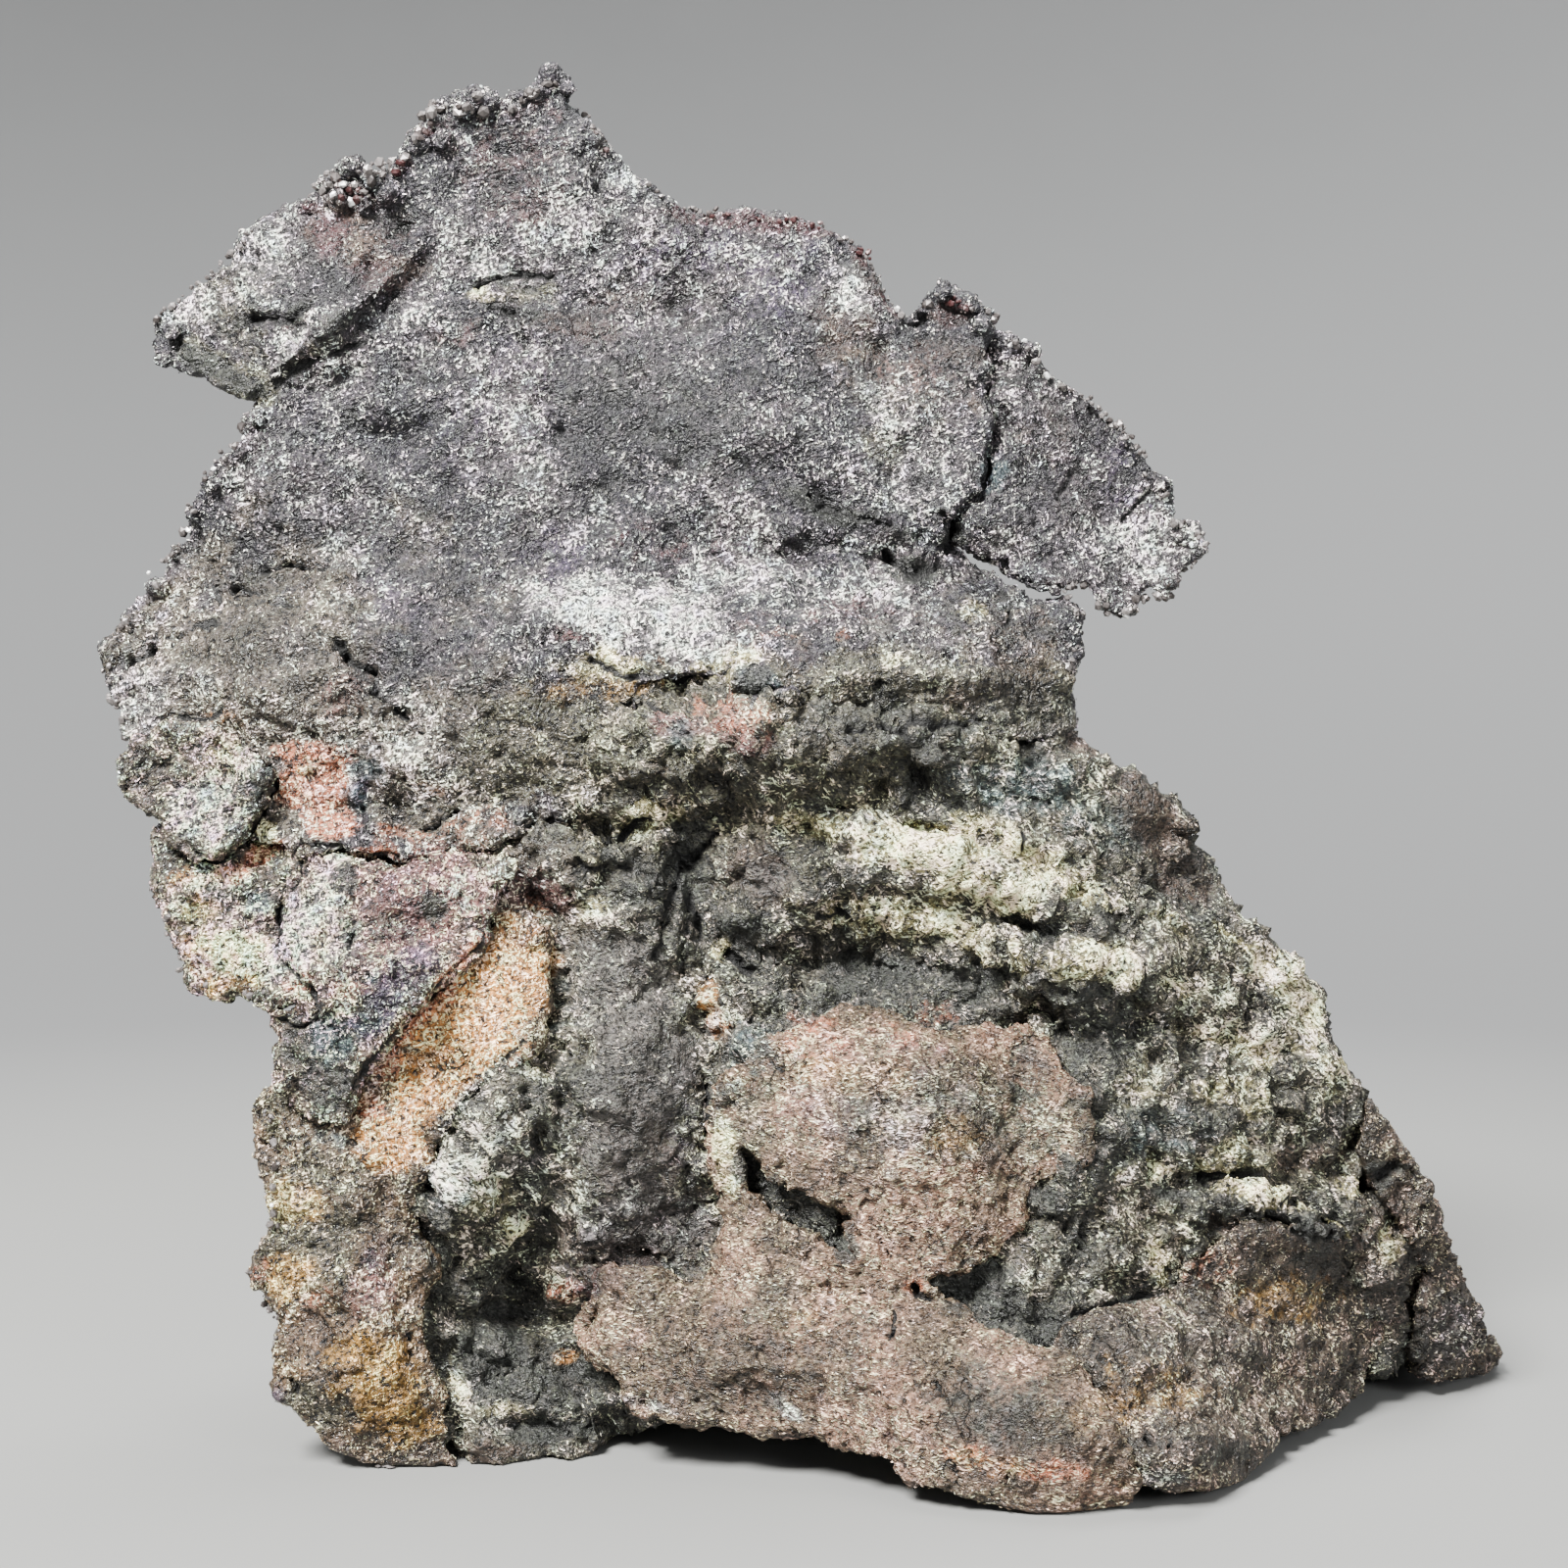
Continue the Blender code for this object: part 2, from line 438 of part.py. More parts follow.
def rock_side(u, v, near, back, share):
    """A point part of the way from the rock's front rim to its back rim, inside the sight line."""
    inset = 0.01 + 0.05 * share + 0.045 * (1.0 + broken(u, v + 60 * share, 17, 79))
    depth = near + share * (back.y / MM - near)
    outer = place(u * (1.0 - inset), v + (45.0 - v) * inset, depth)
    if v < SOLE_TOP:
        outer.z = 0.0
    return outer.lerp(back, share * share)


def add_crystals(piece, spots, depth_of, seed):
    """Fuse blocky flat-faced crystals to the front and edges of a piece."""
    clump = bmesh.new()
    for number, (u, v, size, forward) in enumerate(spots):
        turn = Matrix.Rotation(2.4 * number + seed, 4, "Y") @ Matrix.Rotation(0.7 + number, 4, "X")
        made = bmesh.ops.create_icosphere(clump, subdivisions=1, radius=size * MM * 0.78) \
            if number % 3 == 0 else bmesh.ops.create_cube(clump, size=size * MM * 1.15)
        centre = place(u, v, depth_of(u, v) - forward + size * 0.35)
        centre.z = max(centre.z, size * MM)
        bmesh.ops.transform(clump, matrix=Matrix.Translation(centre) @ turn, verts=made["verts"])
    mesh = bpy.data.meshes.new(piece.name + "_crystals")
    clump.to_mesh(mesh)
    clump.free()
    cutter = bpy.data.objects.new(piece.name + "_crystals", mesh)
    bpy.context.collection.objects.link(cutter)
    cutter.hide_render = True
    cutter.display_type = "WIRE"
    fuse = piece.modifiers.new("fused crystals", "BOOLEAN")
    fuse.operation = "UNION"
    fuse.solver = "EXACT"
    fuse.use_self = True
    fuse.object = cutter


def finish(piece):
    """The piece's own material, flat shaded."""
    colour, roughness, metallic = FINISHES[piece.name]
    material = bpy.data.materials.new(piece.name)
    material.use_nodes = True
    shader = material.node_tree.nodes["Principled BSDF"]
    shader.inputs["Base Color"].default_value = (*colour, 1.0)
    shader.inputs["Roughness"].default_value = roughness
    shader.inputs["Metallic"].default_value = metallic
    piece.data.materials.append(material)


def build():
    """Make every leaf from front to back, then the rock behind them."""
    for old in list(bpy.data.objects):
        bpy.data.objects.remove(old, do_unlink=True)
    points, triangles = shared_net()
    centres = [tuple(sum(points[c][axis] for c in face) / 3 for axis in (0, 1)) for face in triangles]
    covered = [-1e9] * len(points)
    depths = {}
    for leaf in LEAVES:
        faces = [face for face, (u, v) in zip(triangles, centres) if leaf.covers(u, v)]
        used = {corner for face in faces for corner in face}
        rim = {corner for edge in rim_of(faces) for corner in edge}
        fronts, backs = {}, {}
        for corner in used:
            u, v = points[corner]
            near = max(leaf.depth(u, v), covered[corner] + GAP)
            far = near + leaf.thickness(u, v, corner in rim)
            fronts[corner], backs[corner] = place(u, v, near), place(u, v, far)
            depths[corner] = far
        for corner in used:
            covered[corner] = max(covered[corner], depths[corner])
        piece = closed_solid(leaf.name, faces, fronts, backs)
        crystals = {"main_sheet": SHEET_CRYSTALS, "right_wing": WING_CRYSTALS,
                    "lower_left_leaf": LOWER_LEFT_CRYSTALS}.get(leaf.name)
        if crystals:
            add_crystals(piece, crystals, leaf.depth, leaf.seed)
        finish(piece)

    def rock_depth(u, v):
        return front(u, v, 53.0, 1.6) + ROCK_BEHIND

    faces = [face for face, (u, v) in zip(triangles, centres) if in_outline(ROCK_OUTLINE, u, v)]
    rim = {corner for edge in rim_of(faces) for corner in edge}
    fronts, backs = {}, {}
    for corner in {corner for face in faces for corner in face}:
        u, v = points[corner]
        near = max(rock_depth(u, v), covered[corner] + GAP)
        if corner in rim and v < SOLE_TOP:
            near = ground_depth(v)
        fronts[corner] = place(u, v, near)
        across, back, up = rock_back(u, v)
        backs[corner] = Vector((across, max(back, near + 5.0), up)) * MM
    rings = [{corner: rock_side(*points[corner], fronts[corner].y / MM, backs[corner], share)
              for corner in rim} for share in ROCK_ROWS]
    rock = closed_solid("matrix", faces, fronts, backs, rings)
    add_crystals(rock, ROCK_CRYSTALS, rock_depth, 5.0)
    finish(rock)
    stand_on_origin()


def stand_on_origin():
    """Move everything so that the middle of the specimen's footprint box is the origin."""
    shapes = bpy.context.evaluated_depsgraph_get()
    pieces = [piece for piece in bpy.data.objects if not piece.hide_render]
    corners = np.array([corner[:] for piece in pieces for corner in piece.evaluated_get(shapes).bound_box])
    middle = (corners.min(axis=0) + corners.max(axis=0)) / 2
    for piece in bpy.data.objects:
        piece.location = (-middle[0], -middle[1], 0.0)


noise.seed_set(ROCK_TILTS)
build()
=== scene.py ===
import math

import bpy
import numpy as np
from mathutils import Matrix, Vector


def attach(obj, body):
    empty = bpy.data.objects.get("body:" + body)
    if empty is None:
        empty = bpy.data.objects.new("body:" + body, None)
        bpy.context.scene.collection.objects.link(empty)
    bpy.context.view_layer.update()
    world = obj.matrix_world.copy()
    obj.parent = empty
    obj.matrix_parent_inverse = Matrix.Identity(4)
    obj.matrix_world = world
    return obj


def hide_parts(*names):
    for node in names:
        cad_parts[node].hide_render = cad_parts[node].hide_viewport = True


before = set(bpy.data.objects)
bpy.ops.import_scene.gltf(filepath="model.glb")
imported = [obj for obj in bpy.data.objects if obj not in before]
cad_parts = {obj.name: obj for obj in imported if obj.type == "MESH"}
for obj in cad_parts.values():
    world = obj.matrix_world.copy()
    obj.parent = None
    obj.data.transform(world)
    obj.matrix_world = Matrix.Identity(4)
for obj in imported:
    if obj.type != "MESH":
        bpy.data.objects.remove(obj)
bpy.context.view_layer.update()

print("stage: frame loaded")

standpoint = {
    "eye": (-0.00725, -0.3298, 0.100),   # level with the middle of the upright sheet
    "sheetAhead": 0.300,                 # the plane that places are measured on, this far ahead
    "lens": 54.0,
    "sensor": 36.0,
    "shiftY": -0.0625,
}
millimetre = 0.001
aboveGround = 0.00002    # no crystal reaches lower than this


def sightPlaces(points):
    # metres in, millimetres out: across and up on the plane ahead, as seen from the eye
    eye = standpoint["eye"]
    scale = (points[:, 1] - eye[1]) / standpoint["sheetAhead"]
    across = (points[:, 0] - eye[0]) / scale
    up = eye[2] + (points[:, 2] - eye[2]) / scale
    return np.stack([across, up], axis=1) * 1000.0


def hashed(cells, seed):
    # the same number from 0 to 1 each time for each cell of a grid
    spread = np.array([374761393, 668265263, 2147483629], dtype=np.int64)
    mixed = (cells * spread).sum(axis=-1) + seed * 982451653
    mixed = (mixed ^ (mixed >> 13)) * 1274126177
    mixed = mixed ^ (mixed >> 16)
    return (mixed & 0xFFFFF) / float(0xFFFFF)


def softNoise(points, size, seed=0):
    # smooth waves about `size` across, -1 to 1
    place = points / size
    corner = np.floor(place).astype(np.int64)
    share = place - corner
    share = share * share * (3.0 - 2.0 * share)
    total = 0.0
    for x in (0, 1):
        for y in (0, 1):
            for z in (0, 1):
                weight = (np.where(x, share[:, 0], 1 - share[:, 0])
                          * np.where(y, share[:, 1], 1 - share[:, 1])
                          * np.where(z, share[:, 2], 1 - share[:, 2]))
                total = total + weight * hashed(corner + np.array([x, y, z]), seed)
    return total * 2.0 - 1.0


def cloudNoise(points, size, octaves, seed=0):
    # soft waves with finer and weaker ones on them
    total, reach, weight = 0.0, 0.0, 1.0
    for octave in range(octaves):
        total = total + weight * softNoise(points, size / 2.07 ** octave, seed + 17 * octave)
        reach += weight
        weight *= 0.55
    return total / reach


def addedNoise(points, layers, seed=0):
    # layers of soft noise: how much, size in metres, and what it adds to the seed
    return sum(much * softNoise(points, size, seed + own) for much, size, own in layers)


def partly(pair, share):
    # the first at a share of 0, and the second more at a share of 1
    return share * pair[1] + pair[0]


def smoothStep(low, high, value):
    share = np.clip((value - low) / (high - low), 0.0, 1.0)
    return share * share * (3.0 - 2.0 * share)


def lineDistance(places, line):
    # distance from a polyline, and which side: positive above a line that runs right
    best = np.full(len(places), 1e9)
    side = np.ones(len(places))
    for (u0, v0), (u1, v1) in zip(line, line[1:]):
        run, rise = u1 - u0, v1 - v0
        share = ((places[:, 0] - u0) * run + (places[:, 1] - v0) * rise) / (run * run + rise * rise)
        share = np.clip(share, 0.0, 1.0)
        away = np.hypot(places[:, 0] - u0 - share * run, places[:, 1] - v0 - share * rise)
        turn = run * (places[:, 1] - v0) - rise * (places[:, 0] - u0)
        nearer = away < best
        best = np.where(nearer, away, best)
        side = np.where(nearer, np.sign(turn), side)
    return best, side


def ovalReach(places, u, v, wide, high, tilt=0):
    # 0 in the middle of an oval and 1 on its border
    turn = math.radians(tilt)
    du, dv = places[:, 0] - u, places[:, 1] - v
    along = (du * math.cos(turn) + dv * math.sin(turn)) / wide
    across = (dv * math.cos(turn) - du * math.sin(turn)) / high
    return np.hypot(along, across)


patchBorder = {"torn": ((0.40, 0.0065, 0), (0.30, 0.0027, 3)), "outside": 1.25, "inside": 0.45, "reach": 1.9}


def patchAmount(places, points, patches, seed):
    # oval patches with torn borders; where they meet the strongest counts
    amount = np.zeros(len(points))
    for strength, ovals in patches.items():
        for oval in ovals:
            middle, largest = oval[:2], max(oval[2:4])
            near = np.hypot(*(places - middle).T) < patchBorder["reach"] * largest
            if near.any():
                reach = ovalReach(places[near], *oval) + addedNoise(points[near], patchBorder["torn"], seed)
                inside = smoothStep(patchBorder["outside"], patchBorder["inside"], reach)
                amount[near] = np.maximum(amount[near], strength * inside)
    return amount


# places below are across and up in millimetres, as sightPlaces gives them;
# patches stand under their strength: across, up, half width, half height, and the tilt in degrees
# of those that have one
# each layer below is a patch of colour on the surface, and some hold painted light as well, as their notes say;
# each bright colour is partly painted glints
stainsAndPaintedLight = {
    "beige": {
        "body": (0.036, 0.029, 0.021), "blade": (0.86, 0.8, 0.69), "share": 0.85, "keep": 1.0, "patches": {
        1.0: [(-72, 84, 16, 12)], 0.9: [(-66, 101, 24, 20), (-35, 78, 12, 8)], 0.8: [(-44, 92, 22, 13),
        (-30, 70, 6, 10)], 0.7: [(23, 43, 8, 6)], 0.6: [(12, 47, 13, 5)], 0.5: [(28, 107, 10, 7),
        (56, 8, 10, 8), (50, 16, 12, 6)], 0.45: [(15, 139, 10, 8)], 0.4: [(-44, 116, 12, 8, -20),
        (-60, 36, 10, 12), (-3, 22, 8, 5), (10, 18, 9, 4)], 0.3: [(-52, 158, 8, 6), (20, 8, 8, 4, -30)],
    }},
    "olive": {
        "body": (0.027, 0.025, 0.016), "blade": (0.74, 0.7, 0.5), "share": 0.85, "keep": 0.8, "patches": {
        0.9: [(-12, 93, 16, 9), (6, 99, 18, 8), (-8, 84, 12, 6), (-75, 142.4, 7, 2.4, -28),
        (-69, 138.4, 5, 2.4, -25)], 0.8: [(-30, 92, 16, 9), (26, 97, 14, 8), (8, 89, 12, 6), (-20, 80, 10, 4),
        (-60, 8, 6, 5, -30)], 0.7: [(-20, 102, 10, 2.4), (62, 39, 12, 4, -8), (-62, 30, 8, 8)],
        0.6: [(34, 84, 10, 6), (0, 76, 8, 7), (-58, 38, 8, 4), (-64, 46, 4, 5), (-34, 149.6, 6, 2),
        (-4, 45, 5, 8), (32, 42, 6, 8)], 0.5: [(47, 83, 9, 6, -45), (52, 62, 12, 8, -30), (60, 48, 12, 10),
        (48, 32, 10, 6), (64, 24, 12, 7), (-34, 16, 8, 8), (-70, 149, 8, 6, 30), (13, 132, 3, 6),
        (9, 71, 10, 4), (24, 68, 10, 4, -20), (20, 101, 10, 3), (24, 48, 8, 5), (30, 90, 10, 6),
        (40, 76, 8, 6)], 0.4: [(-36, 33, 8, 5), (-28, 60, 5, 10)], 0.35: [(-60, 143, 8, 3, 30), (8, 45, 7, 3)],
        0.3: [(-56, 110, 8, 4), (-48, 84, 8, 4)],
    }},
    "rose": {
        "body": (0.066, 0.028, 0.026), "blade": (0.94, 0.74, 0.67), "share": 0.85, "keep": 0.9, "patches": {
        0.9: [(-50, 73, 12, 5)], 0.8: [(-49, 68, 9, 5, 20), (-42, 76, 9, 4)], 0.7: [(-33, 74, 6, 4),
        (-36, 67.4, 5, 2), (-11, 95, 7, 2)], 0.6: [(-4, 93, 4, 2)], 0.5: [(-56, 62, 5, 4), (-43, 145, 5, 3),
        (-52, 24, 3, 5, -20)], 0.4: [(-22, 106.6, 8, 1.6), (12, 52, 10, 5), (4, 46, 6, 5), (-56, 99, 5, 5, -40),
        (-70, 70, 4, 3)], 0.35: [(-35, 166, 10, 8), (-64, 106, 6, 3), (17, 141, 6, 4)], 0.3: [(8, 109, 8, 2),
        (40, 66, 3, 2), (-16, 118, 9, 4)], 0.25: [(-4, 108, 8, 1.6), (8, 14, 10, 4)],
        0.15: [(48, 79, 7, 4, -45)],
    }},
    "violet": {
        "body": (0.021, 0.015, 0.03), "blade": (0.5, 0.42, 0.56), "share": 0.85, "keep": 0.7, "patches": {
        0.9: [(-51.5, 60.6, 3.4, 3), (-48, 53.8, 3, 1.4)], 0.8: [(-47, 64.4, 4, 2.6, 30), (-53.4, 57, 3, 2)],
        0.7: [(-54, 86, 1.6, 3.4, -20)], 0.6: [(-66, 7, 5, 5, -30), (-53, 27, 2, 2.4)],
        0.5: [(-32, 117.6, 4, 2, 30), (-18, 31, 8, 6), (-24, 26, 6, 4), (-60, 3, 7, 3, -20)],
        0.45: [(-28, 116, 2.6, 5, -20)], 0.4: [(-49, 68, 3, 2), (-48, 111, 9, 5, -20), (-12, 155, 12, 5),
        (0, 150, 8, 8, -45), (-2, 76, 5, 4)], 0.35: [(-40, 104, 6, 6), (-15, 45, 5, 10)],
        0.3: [(-22, 140, 22, 12), (-40, 132, 14, 8), (38, 126, 6, 6)], 0.25: [(2, 117, 12, 4), (44, 124, 8, 8),
        (10, 6, 12, 3, -20)],
    }},
    "umber": {
        "body": (0.025, 0.016, 0.012), "blade": (0.44, 0.34, 0.28), "share": 0.8, "keep": 0.7, "patches": {
        0.85: [(28, 5, 13, 7, -20)], 0.8: [(-56, 157, 6, 4, -20), (21, 147.5, 3, 2), (46, 83, 11, 4, -50),
        (-18, 36, 8, 10), (-20, 28, 8, 5)], 0.7: [(38, 93, 4, 3, -40), (51, 76, 7, 4, -45), (-4, 76, 6, 5),
        (-59, 17, 5, 6), (-40, 2, 12, 3)], 0.6: [(-50, 153, 5, 3), (12, 152, 3, 5, 30), (-26, 30, 5, 4),
        (-12, 28, 6, 5), (65, 40, 9, 3, -8), (-62, 16, 4, 4), (76, 28, 5, 8), (82, 20, 8, 6, -60)],
        0.55: [(8, 145, 7, 5, -50)], 0.5: [(-28, 146, 8, 2.5, -10), (33, 104, 6, 7), (27, 99, 9, 2.5),
        (-45, 65, 6, 3, 45), (24, 6, 12, 4, -15), (66, 28, 9, 5), (60, 30, 7, 2.4, -15), (-66, 6, 8, 6, -30),
        (-60, 4, 8, 4)], 0.45: [(22, 141, 7, 5), (7, 95, 8, 5), (-49, 66, 8, 5, 30)], 0.4: [(-20, 149, 6, 2),
        (0, 104, 9, 3, -8), (-12, 87, 10, 3), (-58, 10, 4, 6)], 0.35: [(-4, 14, 16, 7)], 0.3: [(35, 130, 8, 6),
        (18, 30, 6, 4)],
    }},
    "rust": {
        "body": (0.21, 0.066, 0.032), "blade": (0.94, 0.64, 0.46), "share": 0.9, "keep": 1.0, "patches": {
        1.0: [(-60.5, 87, 5, 4.6, -30)], 0.9: [(-63, 91.5, 3.5, 1.6)], 0.85: [(-45.4, 57.6, 14, 2.4, 51)],
        0.8: [(-58, 82.5, 4, 3), (-67, 78.5, 4, 1.5, 30), (-70, 76, 3, 1.5)], 0.7: [(-53, 78.4, 5, 1.2),
        (17, 23.4, 2, 1.2)], 0.6: [(-53, 46, 3, 2.4)], 0.5: [(-57, 91, 3, 1.5), (-27, 23, 3.5, 2.4, 20),
        (22, 2, 5, 2), (34, 0, 5, 1.6), (-65, 25, 2, 2), (-62, 62.6, 2, 2)], 0.45: [(-5, 95.5, 7, 3, -10)],
        0.4: [(-49, 80, 5, 2), (-9, 97, 4, 2), (-8.5, 57, 2, 2), (5, 56, 7, 3, 10), (20, 58, 4, 2),
        (-60, 22, 3, 2), (-56, 61.5, 3, 2)], 0.35: [(24, 38, 4, 3), (-40, 82, 5, 2, 10)], 0.3: [(12, 55, 8, 2),
        (30, 39, 6, 3), (55, 26, 5, 4)], 0.25: [(-8, 104.6, 9, 1), (8, 106, 3, 1.2)], 0.2: [(1, 106.5, 6, 1)],
    }},
    "gold": {
        "body": (0.205, 0.084, 0.018), "blade": (0.98, 0.77, 0.46), "share": 0.95, "keep": 1.0, "patches": {
        1.0: [(-36.5, 61, 6, 8, -30), (-42, 55, 9, 6, 45), (-46, 48, 8, 5, 50), (-28, 14.5, 1.7, 1.1, 10)],
        0.9: [(-50, 42.6, 5, 4, 10)], 0.6: [(-34, 68, 4, 4), (28, 1, 7, 2.2, -6), (-61, 89, 2, 1, -30)],
        0.55: [(-9.6, 60.5, 1.6, 2.6)], 0.4: [(-77, 76, 3, 3)], 0.35: [(-8, 56, 2, 3)],
        0.3: [(-72, 64.5, 6, 2.5)], 0.25: [(-20, 101, 8, 2), (-12, 104, 10, 1.2), (-44, 87, 5, 2),
        (-72, 96, 4, 2)], 0.15: [(65, 22, 8, 4, 10), (62, 18, 4, 2)], 0.12: [(56, 21, 6, 4)],
        0.1: [(43, 89, 4, 2, -30), (52, 74, 6, 2, -20)],
    }},
    "ochre": {
        "body": (0.115, 0.06, 0.012), "blade": (0.86, 0.62, 0.27), "share": 0.9, "keep": 0.9, "patches": {
        1.0: [(-51, 12, 6.5, 6)], 0.9: [(-48, 6, 4, 4)], 0.8: [(-54, 15.5, 5, 4)], 0.7: [(-60.5, 25.5, 5, 3.4)],
        0.6: [(-64, 24, 2.5, 3), (-62, 34, 4, 3), (-73, 72, 3, 2), (-73, 67, 4, 1.6)], 0.5: [(64, 22, 6, 5, 10),
        (10, 50, 8, 3), (22, 43, 5, 3), (-24, 100, 9, 2.4), (34, 6, 6, 3), (-70, 62, 5, 2)],
        0.4: [(50, 10, 10, 5)], 0.3: [(2, 19, 8, 3)],
    }},
    "cream": {
        "body": (0.132, 0.116, 0.05), "blade": (1.0, 0.95, 0.63), "share": 0.85, "keep": 1.6, "patches": {
        # the cream bands right of the middle, near 64 to 82 up, are partly cream crust, partly painted
        # highlight on ledges that face up; the patch near -18 across, 84 up is painted light that lifts the
        # shade under the sheet's lower edge
        1.0: [(16, 79, 8, 4, -8), (-8.2, 42, 1.7, 3)], 0.95: [(36, 73.6, 7, 2.2, -14)],
        0.9: [(40, 64.4, 6, 2.4, -8), (64, 33.4, 6, 1.0, -15), (59, 35, 7, 0.9, -8), (69, 31.5, 3, 0.9, -40),
        (-7, 37.5, 1.4, 2.4)], 0.8: [(-22, 102.5, 7, 2.6), (22, 76, 6, 4, -30), (32, 77.5, 8, 2, -16),
        (56.5, 68, 4, 0.8, -33), (61, 52, 2, 1.5), (47, 27, 2.4, 4.5, 10), (-8, 66.4, 1.3, 1.4),
        (-34, 31.4, 3, 1.6), (-41.4, 12, 1.5, 5, 10), (-66, 81.4, 2, 1.6)], 0.7: [(4, 82.5, 6, 2.4, -25),
        (25, 82.5, 5, 2, -8), (27, 73, 6, 3, -10), (47, 38.5, 5, 3), (-70, 67, 6, 3, -10)],
        0.65: [(66, 60, 5, 3, -50)], 0.6: [(-8, 102.5, 7, 2, 10), (22, 69, 7, 2, -25), (62, 64, 5, 3, -35),
        (58, 54, 6, 2, -10), (72, 36, 3, 2), (77, 29, 1.6, 3), (-30, 150.5, 2, 1.4), (-39, 149.8, 2.5, 1.2),
        (-25, 72, 2.4, 2), (-18, 84, 6, 3), (14, 103, 2, 1.2)], 0.55: [(12, 71, 9, 3, -8),
        (32, 66.4, 7, 1.8, -20), (-36, 8, 5, 1.4, 5)], 0.5: [(54, 40, 6, 3, 10), (57, 48, 6, 2.4, -10),
        (-73, 70, 4, 4), (-38, 36, 5, 2.5, -10), (24, 109, 3, 1.6)], 0.45: [(50, 69, 7, 1.2, -20),
        (53, 56, 5, 1.6), (70, 50, 3, 4)], 0.4: [(66, 56, 4, 4), (-72, 75, 3, 4), (-31, 10, 4, 1.2),
        (-62, 34, 4, 3), (45, 50, 4, 5), (-70, 90, 4, 3)], 0.35: [(-31, 51, 3, 4, 40), (-33, 9, 4, 1.4, -10),
        (50, 62, 6, 2, -10)], 0.3: [(30, 62, 6, 1.6, 20), (-40, 42, 3, 4, 30), (14, 44, 5, 3)],
        0.25: [(48, 18, 6, 4)],
    }},
    "pale": {
        "body": (0.046, 0.044, 0.045), "blade": (0.96, 0.95, 0.95), "share": 0.75, "keep": 1.5, "patches": {
        # the pale patches near 105 to 112 up across the middle are partly pale crust, partly a painted
        # highlight on the ridge that faces up there
        1.0: [(-20, 109, 12, 4.5, -6), (11.5, 136, 7, 1.4, -58), (-57.8, 160, 1.3, 1.5),
        (-62, 145, 4.2, 1.2, 50), (-20, 110, 12, 4, -6), (-73, 84, 6, 5), (-62, 68, 4, 6, -20)],
        0.9: [(-11, 105.5, 8, 2, -4), (8, 151, 2.2, 4.2, 25)], 0.8: [(-40.4, 47.4, 5, 0.9, 52)],
        0.7: [(-26, 112, 6, 3, 20), (-21, 165, 3, 2.2), (-38, 153.5, 4, 1.6, -30), (-58, 73, 3, 4),
        (-36, 51.6, 4, 0.9, 36), (48, -0.5, 4, 1.4), (-16, 8, 6, 0.9, -12), (0, 8, 3, 1.2, -30)],
        0.65: [(-66, 154, 6, 5, 30)], 0.6: [(0, 112, 12, 3.5, -4), (-18, 33, 8, 8), (-56, 66, 4, 5),
        (-55, 78, 7, 1.5), (53, 119, 2, 1.6, -40), (-42.5, 36, 2.2, 3.6, -30), (-33, 32, 2.6, 1.2)],
        0.55: [(12, 112, 6, 3, -12), (-76, 148.5, 6, 2.4, 25), (-33, 126, 5, 2, 45), (-26, 120, 5, 1.6, 50),
        (-82, 99, 4, 6)], 0.5: [(17, 126, 5.5, 5, 20), (-67, 72, 2.4, 1.6), (-44.4, 38.6, 1.4, 2),
        (85, 18, 4, 5), (-17, 31, 6, 5)], 0.45: [(-56, 117, 5, 3), (-76, 101, 6, 2, -15)],
        0.4: [(-50, 92, 9, 6, -10), (-37, 40, 7, 6), (-56, 64, 8, 6), (-62, 105, 6, 3, 15),
        (-48, 98, 6, 3, -30), (-43, 89, 6, 3, -30), (-40, 75, 6, 4), (44, 118, 7, 4, -20), (28, 141, 3, 1),
        (8, 118, 6, 1.6, -20), (-35, 44, 3, 1.2, 60)], 0.35: [(-44, 145, 6, 4), (14, 46, 14, 10),
        (-72, 66, 6, 4), (-40, 12, 2, 4)], 0.3: [(-25, 161, 8, 10, -20), (-47, 89, 8, 6), (-70, 73, 5, 5),
        (-50, 60, 3, 3), (-36, 6, 5, 1.4), (59, 58, 7, 6)], 0.25: [(15, 135, 3, 6, 5), (84, 20, 7, 5, -60),
        (-53, 53, 5, 5)], 0.2: [(-30, 134, 10, 4, 10), (-35, 165, 8, 8), (-58, 62, 4, 4)],
    }},
    "teal": {
        "body": (0.02, 0.034, 0.038), "blade": (0.74, 0.87, 0.9), "share": 0.75, "keep": 0.9, "patches": {
        0.9: [(-3.5, 100.6, 3.4, 2.2, -15)], 0.8: [(-58, 55, 5, 4)], 0.7: [(-53, 62.6, 1.6, 1)],
        0.6: [(-67, 72.4, 3, 1.6), (-54, 89.5, 3.6, 2), (-54.5, 85.6, 1.4, 2), (-13.5, 94, 2.4, 2),
        (30, 87, 9, 4), (26.5, 127.5, 2.2, 3.5)], 0.5: [(-54, 57, 5, 2), (-72, 74, 3, 2), (25, 88, 5, 3),
        (-4, 54.6, 4.4, 3.6), (-57, 42, 5, 1.4, -15)], 0.45: [(-68, 88, 5, 5)], 0.4: [(23, 94, 3, 2),
        (40, 82, 6, 4, -20), (-7, 48, 3, 2), (48, 44, 7, 3)], 0.35: [(-44, 36, 4, 4), (-28, 62, 4, 8)],
    }},
    "wine": {
        "body": (0.018, 0.0065, 0.0075), "blade": (0.74, 0.62, 0.62), "share": 0.85, "keep": 0.6, "patches": {
        1.0: [(-12, 160, 5, 1.2, -8), (-4, 158.8, 6, 1.2, -5), (4, 158.2, 5, 1.2, -8)],
        0.9: [(10, 154.7, 3.4, 1.2, -50)], 0.85: [(-57.5, 157.4, 4, 3.4, -50)], 0.8: [(-60.5, 161, 1.6, 1.2),
